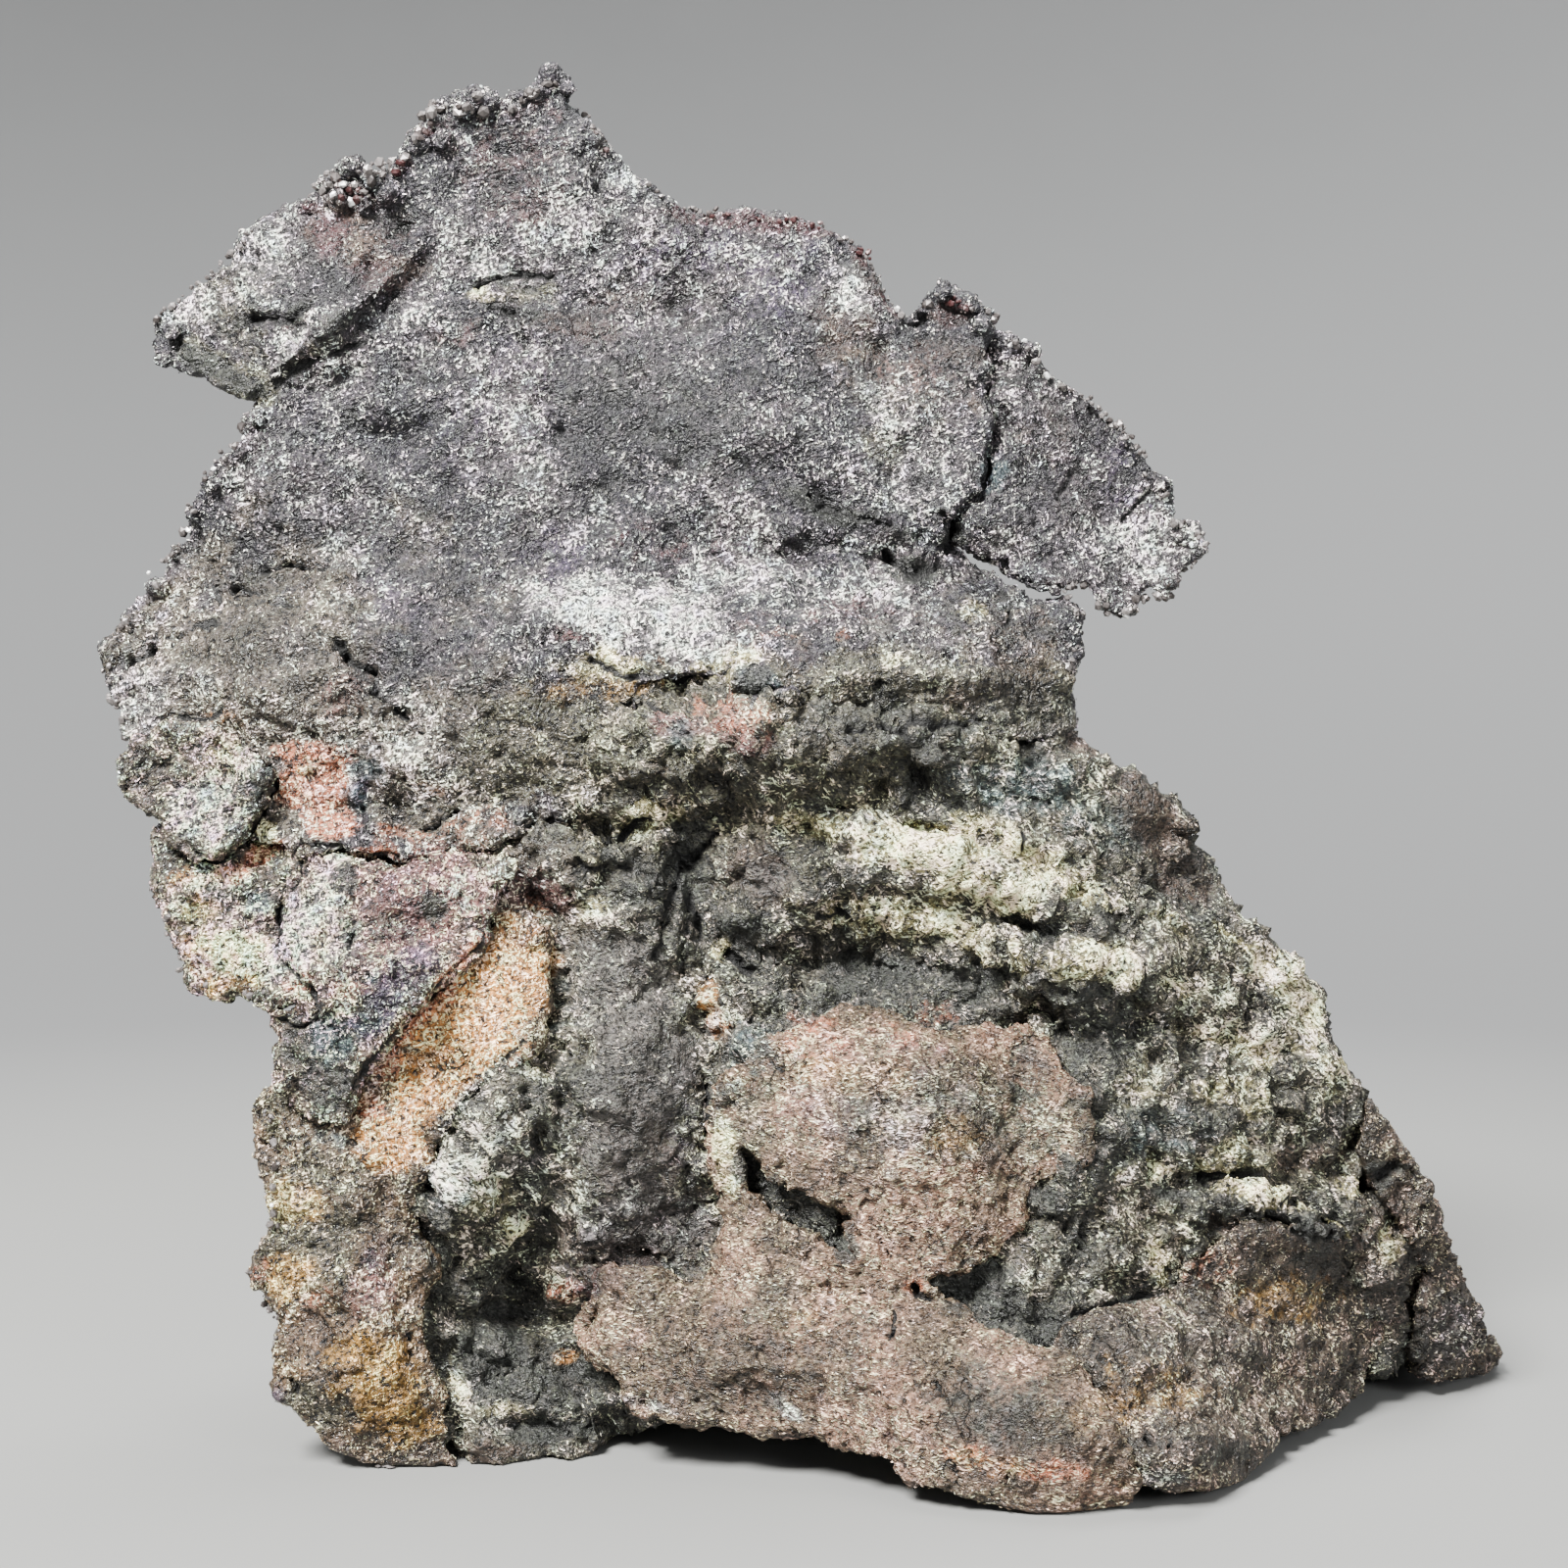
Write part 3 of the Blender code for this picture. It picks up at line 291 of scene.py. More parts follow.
        (21.6, 147.6, 2, 1.6)], 0.7: [(13.2, 149.6, 1.2, 3), (-48, 166, 2.6, 1.2, 20)], 0.6: [(-54, 162, 5, 2),
        (-62, 146.5, 2.6, 1.2, 30), (-35, 151.6, 4, 0.8), (14, 147.6, 2, 1.4, -40), (-32.4, 173.8, 3, 0.7, 20),
        (-23.5, 170, 1.2, 2.4, 20)], 0.5: [(-53, 153, 5, 3, -30), (-44, 171, 4, 1.2, 20), (-55, 65, 1.6, 1.4),
        (-52, 28, 2, 3, -20), (-25, 24, 2.4, 2, 20), (33, 113.2, 3, 0.8)], 0.4: [(-50, 158, 3, 4)],
        0.35: [(-17, 32, 5, 3)],
    }},
    "smooth": {
        "body": (0.03, 0.027, 0.025), "blade": (0.42, 0.4, 0.37), "share": 0.7, "keep": 0.35, "patches": {
        1.0: [(-19, 55, 7, 19)], 0.9: [(-3.5, 100.4, 3, 2)], 0.8: [(-45, 71.4, 3, 2)], 0.7: [(-18, 35, 8, 9),
        (11, 107, 3, 1.8)], 0.6: [(-2, 75, 5, 4), (-58, 49, 4, 3), (-22, 84.6, 4, 2)], 0.4: [(35, 17, 5, 2.4)],
        0.35: [(-14, 140, 16, 7, -10), (33, 122, 8, 5)], 0.3: [(-36, 128, 8, 4, -20), (20, 143, 6, 4)],
        0.25: [(34, 134, 6, 4), (-46, 110, 10, 6, -20)],
    }},
    # dark: partly dark rock, partly painted shade: the patches in the low cavity on the left, the pockets, the
    # recess above the brown leaf, the undercut over the lower right leaf, the shadow lines on the right and the
    # underside of the lobe
    "dark": {
        "body": (0.012, 0.013, 0.011), "blade": (0.38, 0.39, 0.35), "share": 0.9, "keep": 0.3, "patches": {
        1.0: [(-75.4, 142.2, 5.8, 1.7, -28), (-68.4, 138.2, 4.4, 1.8, -25), (17, 114.6, 4, 2),
        (-5.6, 64.6, 2, 1.2, -20), (33, 67.5, 4, 2.6, -20), (75.5, 37.4, 3, 2.4), (67, 30.4, 4, 1, -12),
        (-5.2, 38.6, 1.6, 2), (-25, 12.4, 5, 1.6, -8), (-30, 5, 10, 1.2, 5)], 0.95: [(26, 23, 8, 4, -15)],
        0.92: [(-35, 13, 9, 6)], 0.9: [(-62, 147.6, 2.8, 1.6, 40), (9, 121.6, 5, 0.9, -2), (21, 94.3, 4, 1),
        (14, 63.5, 11, 4), (56, 37.5, 5, 1), (78, 38.5, 2.6, 1), (44, 21.4, 6, 1.1, 8), (-34, 20, 8, 1.4, -5)],
        0.85: [(33, 18.5, 6, 3.4, -20)], 0.8: [(21, 119, 2.5, 2), (50, 35.4, 4, 0.9), (62, 32.4, 6, 0.8, -17),
        (7.6, 29, 2.4, 1.6, -50), (-57.5, 49, 5, 4), (-45, 71.4, 3.4, 2.3), (-56, 75, 2.4, 1.9),
        (-3.5, 98.4, 3, 0.8, -20)], 0.7: [(-70, 146, 3, 1, 20), (3, 124, 4, 1.4, -30),
        (16.5, 87, 2.2, 3.2, -30), (-12.6, 76, 3, 7, -10), (22, 63, 6, 3), (33, 34, 3, 4), (-62, 55, 2.5, 5),
        (-59.5, 51, 3, 2), (-47.5, 53.8, 2.4, 0.9), (-44, 26, 2.6, 6, 10)], 0.62: [(28, 7, 12, 6, -20),
        (11, 96, 12, 5)], 0.6: [(-34, 151, 6, 1.3, -4), (-36, 148.2, 5, 0.8, -10), (31, 51, 3.5, 6),
        (-55, 134, 1.6, 2), (15, 119.4, 4, 1.6, -20), (32, 106.5, 3, 1.4), (-21, 78.5, 4, 1.6),
        (-6, 69, 6, 2.4), (26, 59.5, 4, 3.4), (28, 69, 5, 1.4, -10), (35, 62, 8, 2.6, -8), (37, 27, 7, 6),
        (40, 12, 1.4, 5, 25), (56, 2, 5, 2), (-3.6, 100.6, 2.8, 1.8, -15)], 0.5: [(-57, 146, 3, 1.5, 45),
        (-56, 163.5, 4, 3), (-48, 123, 5, 2.4, -20), (22, 109, 1.6, 4), (-68, 113, 6, 1.6),
        (-74, 107.6, 4, 1.4, 10), (-16, 70, 3, 6, -20), (-18, 74, 5, 4), (4, 68, 6, 2), (36, 71.4, 2, 1.6),
        (40, 70, 4, 3), (38, 48, 3, 8), (38, 40, 3, 4), (69, 27, 4, 2.4), (-2.6, 36.2, 3, 2.4, -35),
        (2.5, 33.4, 4.4, 2.4, -35), (7, 32, 3, 1.8, -10), (-40, 24, 6, 3, -10), (80, 16, 3, 3), (28, 96, 9, 6),
        (46, 3.5, 4, 1)], 0.48: [(-16, 135, 16, 8)], 0.45: [(-39, 43, 2, 4, -40), (-33, 47, 3, 3),
        (-66, 106, 9, 5)], 0.4: [(-46, 118, 4, 3), (28, 43, 4, 5), (-33, 117, 6, 3, 45), (-8, 128, 6, 2.4),
        (38, 56, 7, 6), (42, 60, 6, 3, -10), (44, 52, 6, 5), (64, 27, 4, 1.6), (-38, 32, 3, 2), (-31, 40, 2, 3),
        (-4, 13, 15, 6), (-26, 129, 12, 6)], 0.35: [(-44, 114, 8, 3, -20), (14, 92, 10, 3), (-35, 43, 3, 3),
        (-73, 103, 5, 4)], 0.3: [(-59, 16, 5, 5), (-48, 104, 8, 4), (-40, 100, 6, 5), (-43, 33, 3, 3, -45),
        (66, 62, 3, 2)], 0.25: [(-19, 55, 6, 17), (-22, 83.6, 4, 1.4, -10), (-57, 30, 7, 6), (-58, 16.5, 4, 5)],
        0.15: [(-50, 8, 6, 6)],
    }},
}

# cracks: points, half width and depth in millimetres; the finish paints shade in them as well
cracks = [
    ([(-84.4, 101), (-83, 103.2), (-81.2, 104.2)], 0.55, 2.0),
    ([(-66.2, 114.8), (-62, 115.2), (-58.5, 115.2)], 0.5, 1.4), ([(-66, 114.5), (-63.5, 113.4)], 0.4, 0.9),
    ([(-70.6, 111.8), (-68.6, 112.2), (-66, 111)], 0.45, 1.0),
    ([(-67.5, 110.6), (-65, 109.8), (-62.6, 110)], 0.4, 1.0), ([(-73, 112), (-72, 110.6)], 0.4, 0.8),
    ([(-77.5, 106.4), (-75, 108.4), (-72.6, 108.6), (-70.6, 107)], 0.4, 0.9),
    ([(-77.4, 96.6), (-74, 95.4), (-71.6, 97), (-70, 100)], 0.4, 0.9),
    ([(-57.4, 105.8), (-56, 104.3)], 0.6, 1.8), ([(-56, 104.3), (-54, 102.8), (-52.2, 100.4)], 0.42, 1.6),
    ([(-52.2, 99.4), (-51, 98.6)], 0.55, 1.6), ([(-50, 96.4), (-48.4, 95.4), (-46, 94)], 0.42, 1.4),
    ([(-45.5, 82), (-43.4, 83), (-41.6, 84.2)], 0.42, 1.5), ([(-35, 83), (-32.6, 82.6), (-30, 82.6)], 0.4, 1.4),
    ([(-41.5, 149.8), (-38, 151.6), (-33, 152.6), (-29.6, 152.4)], 0.42, 1.1),
    ([(-38, 148.6), (-35, 148), (-31.6, 148.2)], 0.35, 0.7), ([(-48.4, 142.6), (-47.6, 141.6)], 0.4, 0.9),
    ([(-46, 139), (-46.4, 136.4)], 0.3, 0.6), ([(-67, 155), (-67.8, 152.6)], 0.5, 1.0),
    ([(-68, 147), (-64, 146.4), (-60, 148.6)], 0.7, 1.4),
    ([(1, 126), (4, 123.6), (7, 121.8), (11, 121.6), (13.4, 120.2)], 0.45, 1.2),
    ([(13, 117), (15.6, 114.8), (19.6, 115.4)], 0.9, 2.2),
    ([(20.6, 122.2), (21.4, 119.6), (20.8, 117)], 0.6, 1.4),
    ([(22.8, 116.8), (25, 115.6), (28, 115.8)], 0.7, 2.4),
    ([(28, 115.8), (30.6, 113.6), (33, 113), (36, 112.6)], 0.35, 1.4),
    ([(27.3, 139.1), (30.3, 139.5), (31, 141)], 0.25, 0.7), ([(26.4, 129), (25.9, 126)], 0.3, 0.7),
    ([(43, 121), (46.4, 124.6)], 0.3, 0.7), ([(27.6, 112.4), (28.8, 109), (27.6, 106.4)], 0.5, 1.2),
    ([(-27, 103.6), (-20, 102), (-14, 101.4), (-8, 101.3), (-6.4, 102.4)], 0.35, 0.9),
    ([(-23, 97.9), (-19, 97.7), (-15, 96.9)], 0.42, 1.3),
    ([(8, 94), (14, 94.4), (20, 94.2), (23, 94.6)], 0.4, 1.2),
    ([(13, 95), (15, 93.6), (16, 90), (18, 86.4)], 0.6, 1.3), ([(-9, 81), (-11, 78.6), (-12.6, 76)], 0.4, 1.4),
    ([(-12.4, 73), (-11, 70), (-10.6, 67.4)], 0.45, 1.2), ([(-12.6, 78), (-15.4, 71), (-17, 65.6)], 0.45, 1.4),
    ([(-24.4, 81.6), (-22.4, 81)], 0.45, 1.3), ([(-20, 81.3), (-19, 82.8), (-17, 83)], 0.45, 1.3),
    ([(-27, 77.6), (-23, 76.4), (-20, 76.8)], 0.45, 1.3),
    ([(-7.6, 65.4), (-5.6, 64.8), (-4.2, 63.8)], 0.8, 2.4), ([(-6, 98.8), (-3, 98.6), (-0.6, 98)], 0.35, 1.0),
    ([(29.6, 81.6), (30.4, 79)], 0.35, 1.0), ([(-10, 52), (-9.6, 47), (-9.4, 43)], 0.4, 1.2),
    ([(37, 20), (40, 20.2), (43, 21.6), (46, 22), (50, 20.8)], 0.5, 1.6),
    ([(53, 37.4), (57, 37.8), (60, 37)], 0.5, 1.4),
    # this crack stands for the shadow line under the white streaks: cut as a groove and painted dark
    ([(58, 33.2), (62, 31.8), (67, 30.3), (70, 29.5)], 0.45, 1.5),
    ([(60, 34), (66, 33), (68.6, 31.4)], 0.3, 0.8), ([(73.6, 36.2), (76, 37.6), (78, 38.6)], 0.8, 2.0),
    ([(12, 29.6), (13.8, 26.6)], 0.35, 0.8), ([(16.6, 23.4), (17.4, 22.4), (19.4, 22)], 0.5, 2.0),
    ([(14.2, 20.6), (14, 17.6), (12, 15.6)], 0.4, 0.9), ([(-15, 18.8), (-15.2, 17.8)], 0.3, 0.8),
    ([(46.4, 4.4), (47, 3.4)], 0.5, 1.5), ([(49.4, 3.4), (49.8, 2.2)], 0.45, 1.5),
    ([(51, 3.8), (51.6, 3.6)], 0.35, 0.9), ([(-47.4, 17.5), (-47.6, 15), (-46.5, 13.5)], 0.4, 1.2),
    ([(-55.6, 66.5), (-54.8, 69)], 0.4, 0.9), ([(-62.6, 11.6), (-62, 10)], 0.4, 1.2),
    ([(-40, 46), (-37, 51), (-33, 55)], 0.3, 0.7), ([(4.4, 75), (6, 77)], 0.35, 0.8),
    ([(4, 70.6), (9, 70.8)], 0.35, 0.9), ([(20.4, 64), (21.4, 62.6)], 0.3, 0.8),
    # the four below run along leaf edges and stand for the shadow lines under them: cut as grooves and painted
    # dark
    ([(-37, 70), (-38.8, 66.9), (-41.5, 64.2), (-44.7, 61), (-48.3, 57), (-50.8, 54.6), (-53.5, 51.5),
      (-55.7, 45.2)], 0.5, 1.2),
    ([(-61.3, 77.7), (-61.8, 75.4), (-63.6, 72.7), (-64.5, 70), (-64.5, 66.9), (-63.1, 64.2),
      (-60, 61)], 0.38, 1.3),
    ([(-64.5, 88), (-66.3, 85.8), (-67.6, 82.2), (-69, 80.4), (-70.8, 78.6), (-72.6, 77.7),
      (-75.3, 78.6)], 0.6, 1.8),
    ([(-61.8, 79.5), (-60, 79.5), (-57.3, 79.5), (-55, 78.6), (-50.5, 77.7)], 0.4, 1.3),
    ([(-65.4, 57), (-62, 56.4), (-59, 57.4)], 0.35, 1.0), ([(-60.4, 61), (-59, 59), (-60, 57)], 0.4, 1.0),
    ([(-51, 78.2), (-49.6, 78)], 0.45, 1.2), ([(-65, 138.7), (-58.7, 142.1), (-53.3, 143.9)], 0.35, 0.9),
    ([(-72, 140.8), (-70, 141.2)], 0.35, 0.9), ([(22, 94.3), (24.6, 95.6)], 0.3, 0.8),
    ([(10, 99.4), (13, 100.4)], 0.3, 0.8),
]

# folds: points, half width and height in millimetres; a negative height is a trough
folds = [
    ([(-60, 126), (-50, 119), (-40, 113)], 3.0, -0.8), ([(-44, 130), (-36, 127), (-27, 119)], 2.4, 0.7),
    ([(-38, 113), (-28, 118), (-20, 127)], 2.8, -0.9), ([(-24, 117), (-14, 123), (-8, 130)], 2.4, 0.6),
    ([(-12, 127), (-2, 128), (4, 124)], 2.2, -0.9), ([(-6, 123), (2, 120), (10, 117)], 2.4, 0.8),
    ([(8, 141), (11, 137), (14, 132)], 1.3, 1.4), ([(3, 151), (7, 145), (14, 141)], 2.8, -1.2),
    ([(5, 156), (9, 150), (13, 145)], 2.0, 0.9), ([(14, 139), (15.5, 133), (17, 127)], 2.2, 0.9),
    ([(18, 146), (22, 140), (24, 134)], 2.6, -0.6), ([(-68, 105), (-58, 107), (-48, 105)], 2.4, 0.7),
    ([(-82, 101), (-72, 101.4), (-64, 98)], 2.0, 0.8), ([(-78, 92), (-68, 93), (-58, 93)], 2.2, -0.6),
    ([(-52, 112), (-44, 105), (-38, 98)], 3.2, -0.8), ([(-47, 97), (-40, 91), (-32, 88)], 3.0, -0.5),
    ([(-52, 90), (-42, 88), (-34, 90)], 2.2, 0.6), ([(-32, 109), (-20, 110), (-8, 107)], 3.6, 1.0),
    ([(-5, 112), (8, 112), (16, 110)], 2.6, 0.7), ([(-60, 137), (-50, 136), (-40, 138)], 2.8, 0.6),
    ([(-56, 130), (-50, 131), (-44, 126)], 2.6, -0.7), ([(-47, 165), (-42, 157)], 2.6, 0.7),
    ([(-32, 172), (-28, 162), (-22, 152)], 3.0, 0.7), ([(-36, 168), (-34, 158)], 2.4, -0.6),
    ([(-16, 152), (-14, 142), (-18, 134)], 3.4, -0.6), ([(-6, 150), (-2, 140), (2, 132)], 3.4, 0.6),
    ([(-62, 145.2), (-59.6, 148)], 1.0, 1.2), ([(-74, 151), (-68, 152)], 2.0, 0.6),
    ([(-73, 143), (-69, 145)], 1.4, -0.8), ([(30, 136), (36, 131), (42, 126)], 2.6, 0.5),
    ([(32, 124), (36, 123), (39, 122)], 1.1, 0.6), ([(24, 110), (27, 108)], 2.6, 1.0),
    ([(8, 80), (18, 79), (28, 76), (38, 72.6)], 2.6, 1.6), ([(26, 67), (36, 65), (45, 63.4)], 2.2, 1.5),
    ([(18, 71.6), (30, 70), (38, 68.6)], 1.6, -1.3), ([(8, 64.6), (16, 63.4), (24, 62)], 2.8, -0.5),
    ([(31, 69), (34, 66.4)], 2.0, -1.4), ([(36, 58), (44, 52)], 4.0, -0.4),
    ([(48, 60), (58, 58), (68, 52)], 3.0, 1.1), ([(48, 42), (58, 46), (66, 44)], 3.0, 0.9),
    ([(50, 37.6), (60, 38), (72, 38.4)], 1.5, -1.3), ([(56, 35.4), (64, 33.8), (69.6, 31.4)], 0.9, 1.2),
    ([(-20, 74), (-20, 50), (-20, 30)], 6.0, 1.6),
    ([(-12, 79), (-10.4, 70), (-9.8, 50), (-9.6, 40)], 1.6, -0.9),
    ([(-28, 68), (-30, 56), (-28, 44)], 1.8, -1.0), ([(-44, 38), (-36, 46), (-32, 54)], 4.0, 1.6),
    ([(-46, 31), (-40, 27), (-33, 24)], 2.4, -1.8), ([(-42, 20.4), (-34, 20), (-26, 19)], 1.7, -2.2),
    ([(-40, 14), (-30, 13)], 2.6, 1.0), ([(-36, 5.5), (-26, 5.5), (-18, 8)], 1.3, -2.0),
    ([(-24, 84.6), (-14, 85)], 1.8, 1.6), ([(-5.6, 101.4), (-2, 100)], 1.9, 1.7),
    ([(0, 84), (6, 82)], 1.8, 0.8), ([(22, 83), (29, 81.6)], 1.4, 0.9), ([(-3, 76), (3, 75)], 3.6, 1.0),
    ([(12, 91), (18, 88)], 2.4, -0.7), ([(20, 100), (32, 99)], 2.2, 0.7), ([(42, 87), (52, 77)], 3.2, 0.8),
    ([(-6, 54), (-2, 55)], 2.8, 1.4), ([(-8, 47.6), (-6, 48)], 1.8, 1.0), ([(45, 30), (47, 25)], 1.4, 0.8),
    ([(24, 25), (33, 18)], 3.0, -1.2), ([(6, 54), (20, 50), (32, 46)], 4.0, 0.7),
    ([(12, 40), (26, 36)], 3.0, -0.5), ([(-12, 16), (4, 17), (12, 13)], 3.2, 0.6),
    ([(18, 16), (30, 10), (38, 4)], 3.4, 0.7), ([(-6, 10), (10, 8)], 2.4, -0.5),
    ([(42, 16), (56, 18), (68, 16)], 3.0, 0.8), ([(44, 8), (58, 9)], 2.6, -0.6),
    ([(80, 30), (86, 18)], 2.6, 0.8), ([(-66, 42), (-62, 34)], 2.4, 0.7), ([(-66, 28), (-56, 25)], 2.8, 0.9),
    ([(-64, 19), (-56, 20)], 1.8, -0.8), ([(-58, 12), (-50, 10)], 3.4, 0.8),
    ([(-52, 38), (-50, 28)], 2.4, -0.8), ([(-60, 72), (-56, 64)], 2.6, 0.8),
    ([(-48, 70), (-44, 64)], 2.2, -0.5), ([(-72, 70), (-68, 64)], 2.4, 0.7), ([(-76, 84), (-70, 86)], 3.0, 0.8),
]

# ledges: points, and how far the side below stands forward of the side above, in millimetres
ledges = [
    ([(-66, 138), (-61, 141), (-56, 142.8), (-52, 145.4), (-49.6, 150)], 1.1),
    ([(-9, 107.6), (4, 108.6), (16, 106.6)], 0.6), ([(-30, 103.2), (-20, 102.2), (-8, 101.4)], -0.7),
    ([(8, 82), (18, 80.6), (30, 75), (42, 72)], 0.7), ([(24, 68), (36, 66.4), (46, 62.4)], 0.8),
    ([(46, 55.6), (56, 52.6), (66, 51.6)], 0.6), ([(50, 36.6), (60, 34.6), (70, 30.2)], 0.8),
    ([(-32, 81.6), (-22, 80), (-14, 81.6)], 0.6), ([(40, 44), (52, 43), (62, 40)], 0.7),
    ([(-44, 22.6), (-36, 22.6), (-26, 20.6)], -0.8), ([(42, 73), (50, 71), (60, 69)], 0.7),
    ([(36, 21), (46, 22.4), (52, 20.6)], 0.8), ([(-72, 112), (-64, 111), (-56, 113)], 0.6),
    ([(-80, 95), (-72, 96), (-66, 101)], 0.5), ([(2, 125), (8, 121.8), (14, 120)], 0.6),
    ([(-2, 97), (10, 95), (24, 95)], 0.6),
]

# swells: node, then a place, half sizes and tilt as in a patch, and how far the face is
# brought towards the eye there, in millimetres
swells = [
    ("matrix", -20, 91, 15, 7, 0, 4.6), ("matrix", 2, 91, 14, 6, 0, 5.2), ("matrix", 18, 92, 12, 6, 0, 4.6),
    ("matrix", 33, 91, 7, 5, 0, 3.4), ("matrix", -26, 79, 8, 5, 0, 3.0), ("matrix", -11, 76, 6, 7, 0, 2.6),
    ("matrix", -10, 66, 4, 8, 0, 1.6), ("matrix", 14, 62, 12, 5, 0, 2.6), ("matrix", 37, 48, 6, 9, 0, 2.2),
    ("matrix", 78, 24, 5, 12, -10, 6.0), ("matrix", 75, 34, 5, 6, 0, 3.0),
    ("right_toe", 80, 24, 4, 12, 20, 4.0), ("right_toe", 79, 36, 4, 5, 0, -1.0),
    ("main_sheet", -10, 95, 18, 4, 0, -1.6), ("main_sheet", 14, 96, 18, 4, 0, -1.8),
    ("main_sheet", -34, 86, 14, 4, 0, -0.8), ("matrix", 42, 88, 6, 5, 0, 1.8),
    ("matrix", 50, 66, 8, 6, -30, 1.6), ("matrix", 40, 22, 8, 5, 0, 1.6), ("matrix", -38, 47, 5, 7, 30, 1.6),
    ("matrix", -42, 34, 4, 5, 0, 1.6), ("lower_right_leaf", 70, 24, 6, 8, 0, -1.5),
    ("main_sheet", -58.5, 144, 8, 2.6, 40, 1.4), ("left_leaf", -44, 78.6, 8, 2.2, 0, 2.0),
    ("matrix", -34, 77, 5, 5, 0, 2.6), ("brown_leaf", 33, 44, 5, 10, 0, -1.6),
    ("matrix", 24, 98.4, 14, 2.8, 0, 1.8), ("main_sheet", 24, 99.8, 14, 2.4, 0, -1.0),
    ("matrix", 0, 97.6, 8, 2.4, 0, 1.2), ("matrix", 34, 35, 6, 8, 0, 2.2),
    ("brown_leaf", 22, 4, 14, 4, 0, -1.2), ("matrix", 2, 33, 8, 4, -35, 2.2),
    ("matrix", 28, 22, 8, 4, -20, 1.2),
]


# quiet places, where the relief stays low: patches as above
quiets = {
    0.9: [(46, 84, 9, 9, -50)], 0.85: [(58, 70, 9, 9, -40)], 0.8: [(68, 57, 8, 9, -50)],
    0.7: [(74, 46, 6, 12, 25)], 0.6: [(38, 94, 6, 5), (19, 78, 13, 5, -10)], 0.5: [(12, 48, 18, 9),
    (30, 86, 8, 6)], 0.4: [(-8, 16, 14, 7), (4, 76, 9, 6)], 0.35: [(-20, 128, 26, 20)],
    0.3: [(10, 134, 12, 12)],
}


def deselectAll():
    if bpy.context.object and bpy.context.object.mode != "OBJECT":
        bpy.ops.object.mode_set(mode="OBJECT")
    bpy.ops.object.select_all(action="DESELECT")


def makeActive(piece):
    deselectAll()
    piece.select_set(True)
    bpy.context.view_layer.objects.active = piece


def applyModifier(piece, kind, **settings):
    modifier = piece.modifiers.new(kind.lower(), kind)
    for key, value in settings.items():
        setattr(modifier, key, value)
    makeActive(piece)
    bpy.ops.object.modifier_apply(modifier=modifier.name)


def copyOfSolid(name, newName):
    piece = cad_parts[name].copy()
    piece.data = piece.data.copy()
    piece.name = piece.data.name = newName
    piece.parent = None
    for key in list(piece.keys()):
        del piece[key]
    bpy.context.scene.collection.objects.link(piece)
    makeActive(piece)
    bpy.ops.object.mode_set(mode="EDIT")
    bpy.ops.mesh.select_all(action="SELECT")
    bpy.ops.mesh.remove_doubles(threshold=1e-6)
    bpy.ops.object.mode_set(mode="OBJECT")
    piece.data.materials.clear()
    return piece


def vectorsOf(items, key):
    values = np.empty(len(items) * 3, dtype=np.float32)
    items.foreach_get(key, values)
    return values.reshape(-1, 3).astype(float)


def vertexPlaces(piece):
    return vectorsOf(piece.data.vertices, "co")


def vertexNormals(piece):
    return vectorsOf(piece.data.vertex_normals, "vector")


def placeVertices(piece, points):
    piece.data.vertices.foreach_set("co", points.astype(np.float32).ravel())
    piece.data.update()


def unitLong(vectors):
    return vectors / np.linalg.norm(vectors, axis=1)[:, None]


def swell(name, points, places):
    # the broad forms, brought out or in along the line of sight
    amounts = np.zeros(len(points))
    for owner, *oval, depth in swells:
        if owner == name:
            amounts += millimetre * depth * np.exp(-ovalReach(places, *oval) ** 2)
    return towardsEye(points) * amounts[:, None]


thinning = {"steps": 6, "least": 0.08, "strength": 2.5}


def thinBack(piece, most):
    # fewer and larger faces where the surface looks away from the front
    count = triangleCount(piece)
    if count > most:
        group = piece.vertex_groups.new(name="away")
        last, least = thinning["steps"], thinning["least"]
        steps = np.round((1.0 - facing(piece)) * last)
        for step in range(last + 1):
            chosen = np.nonzero(steps == step)[0].tolist()
            group.add(chosen, least + (1.0 - least) * step / last, "REPLACE")
        applyModifier(piece, "DECIMATE", ratio=most / count, vertex_group="away",
                      vertex_group_factor=thinning["strength"])
        piece.vertex_groups.clear()


def triangleCount(piece):
    return sum(len(face.vertices) - 2 for face in piece.data.polygons)


def storeMasks(mesh, masks):
    for name, amounts in masks.items():
        mask = mesh.attributes.new(name, "FLOAT", "POINT")
        mask.data.foreach_set("value", np.clip(amounts, 0.0, 1.0).astype(np.float32))


flakeHabit = {"bendSize": 0.8, "bend": 0.3, "tilt": 1.6}


def flakes(points, size, seed):
    # scales: each cell is a tilted plate that ends in a small step; also the distance
    # from where two plates meet, in parts of a cell
    warp = np.stack([softNoise(points, size * flakeHabit["bendSize"], seed + k) for k in (8, 9, 10)], axis=1)
    place = points / size + flakeHabit["bend"] * warp
    home = np.floor(place).astype(np.int64)
    best = np.full(len(points), 9.0)
    second = np.full(len(points), 9.0)
    height = np.zeros(len(points))
    for x in (-1, 0, 1):
        for y in (-1, 0, 1):
            for z in (-1, 0, 1):
                cell = home + np.array([x, y, z])
                centre = cell + np.stack([hashed(cell, seed + k) for k in (1, 2, 3)], axis=1)
                offset = place - centre
                distance = np.linalg.norm(offset, axis=1)
                tilt = np.stack([hashed(cell, seed + k) - 0.5 for k in (4, 5, 6)], axis=1)
                plate = (tilt * offset).sum(axis=1) * flakeHabit["tilt"] + hashed(cell, seed + 7) - 0.5
                nearer = distance < best
                second = np.where(nearer, best, np.minimum(second, distance))
                best = np.where(nearer, distance, best)
                height = np.where(nearer, plate, height)
    return np.clip(height, -1.0, 1.0), second - best


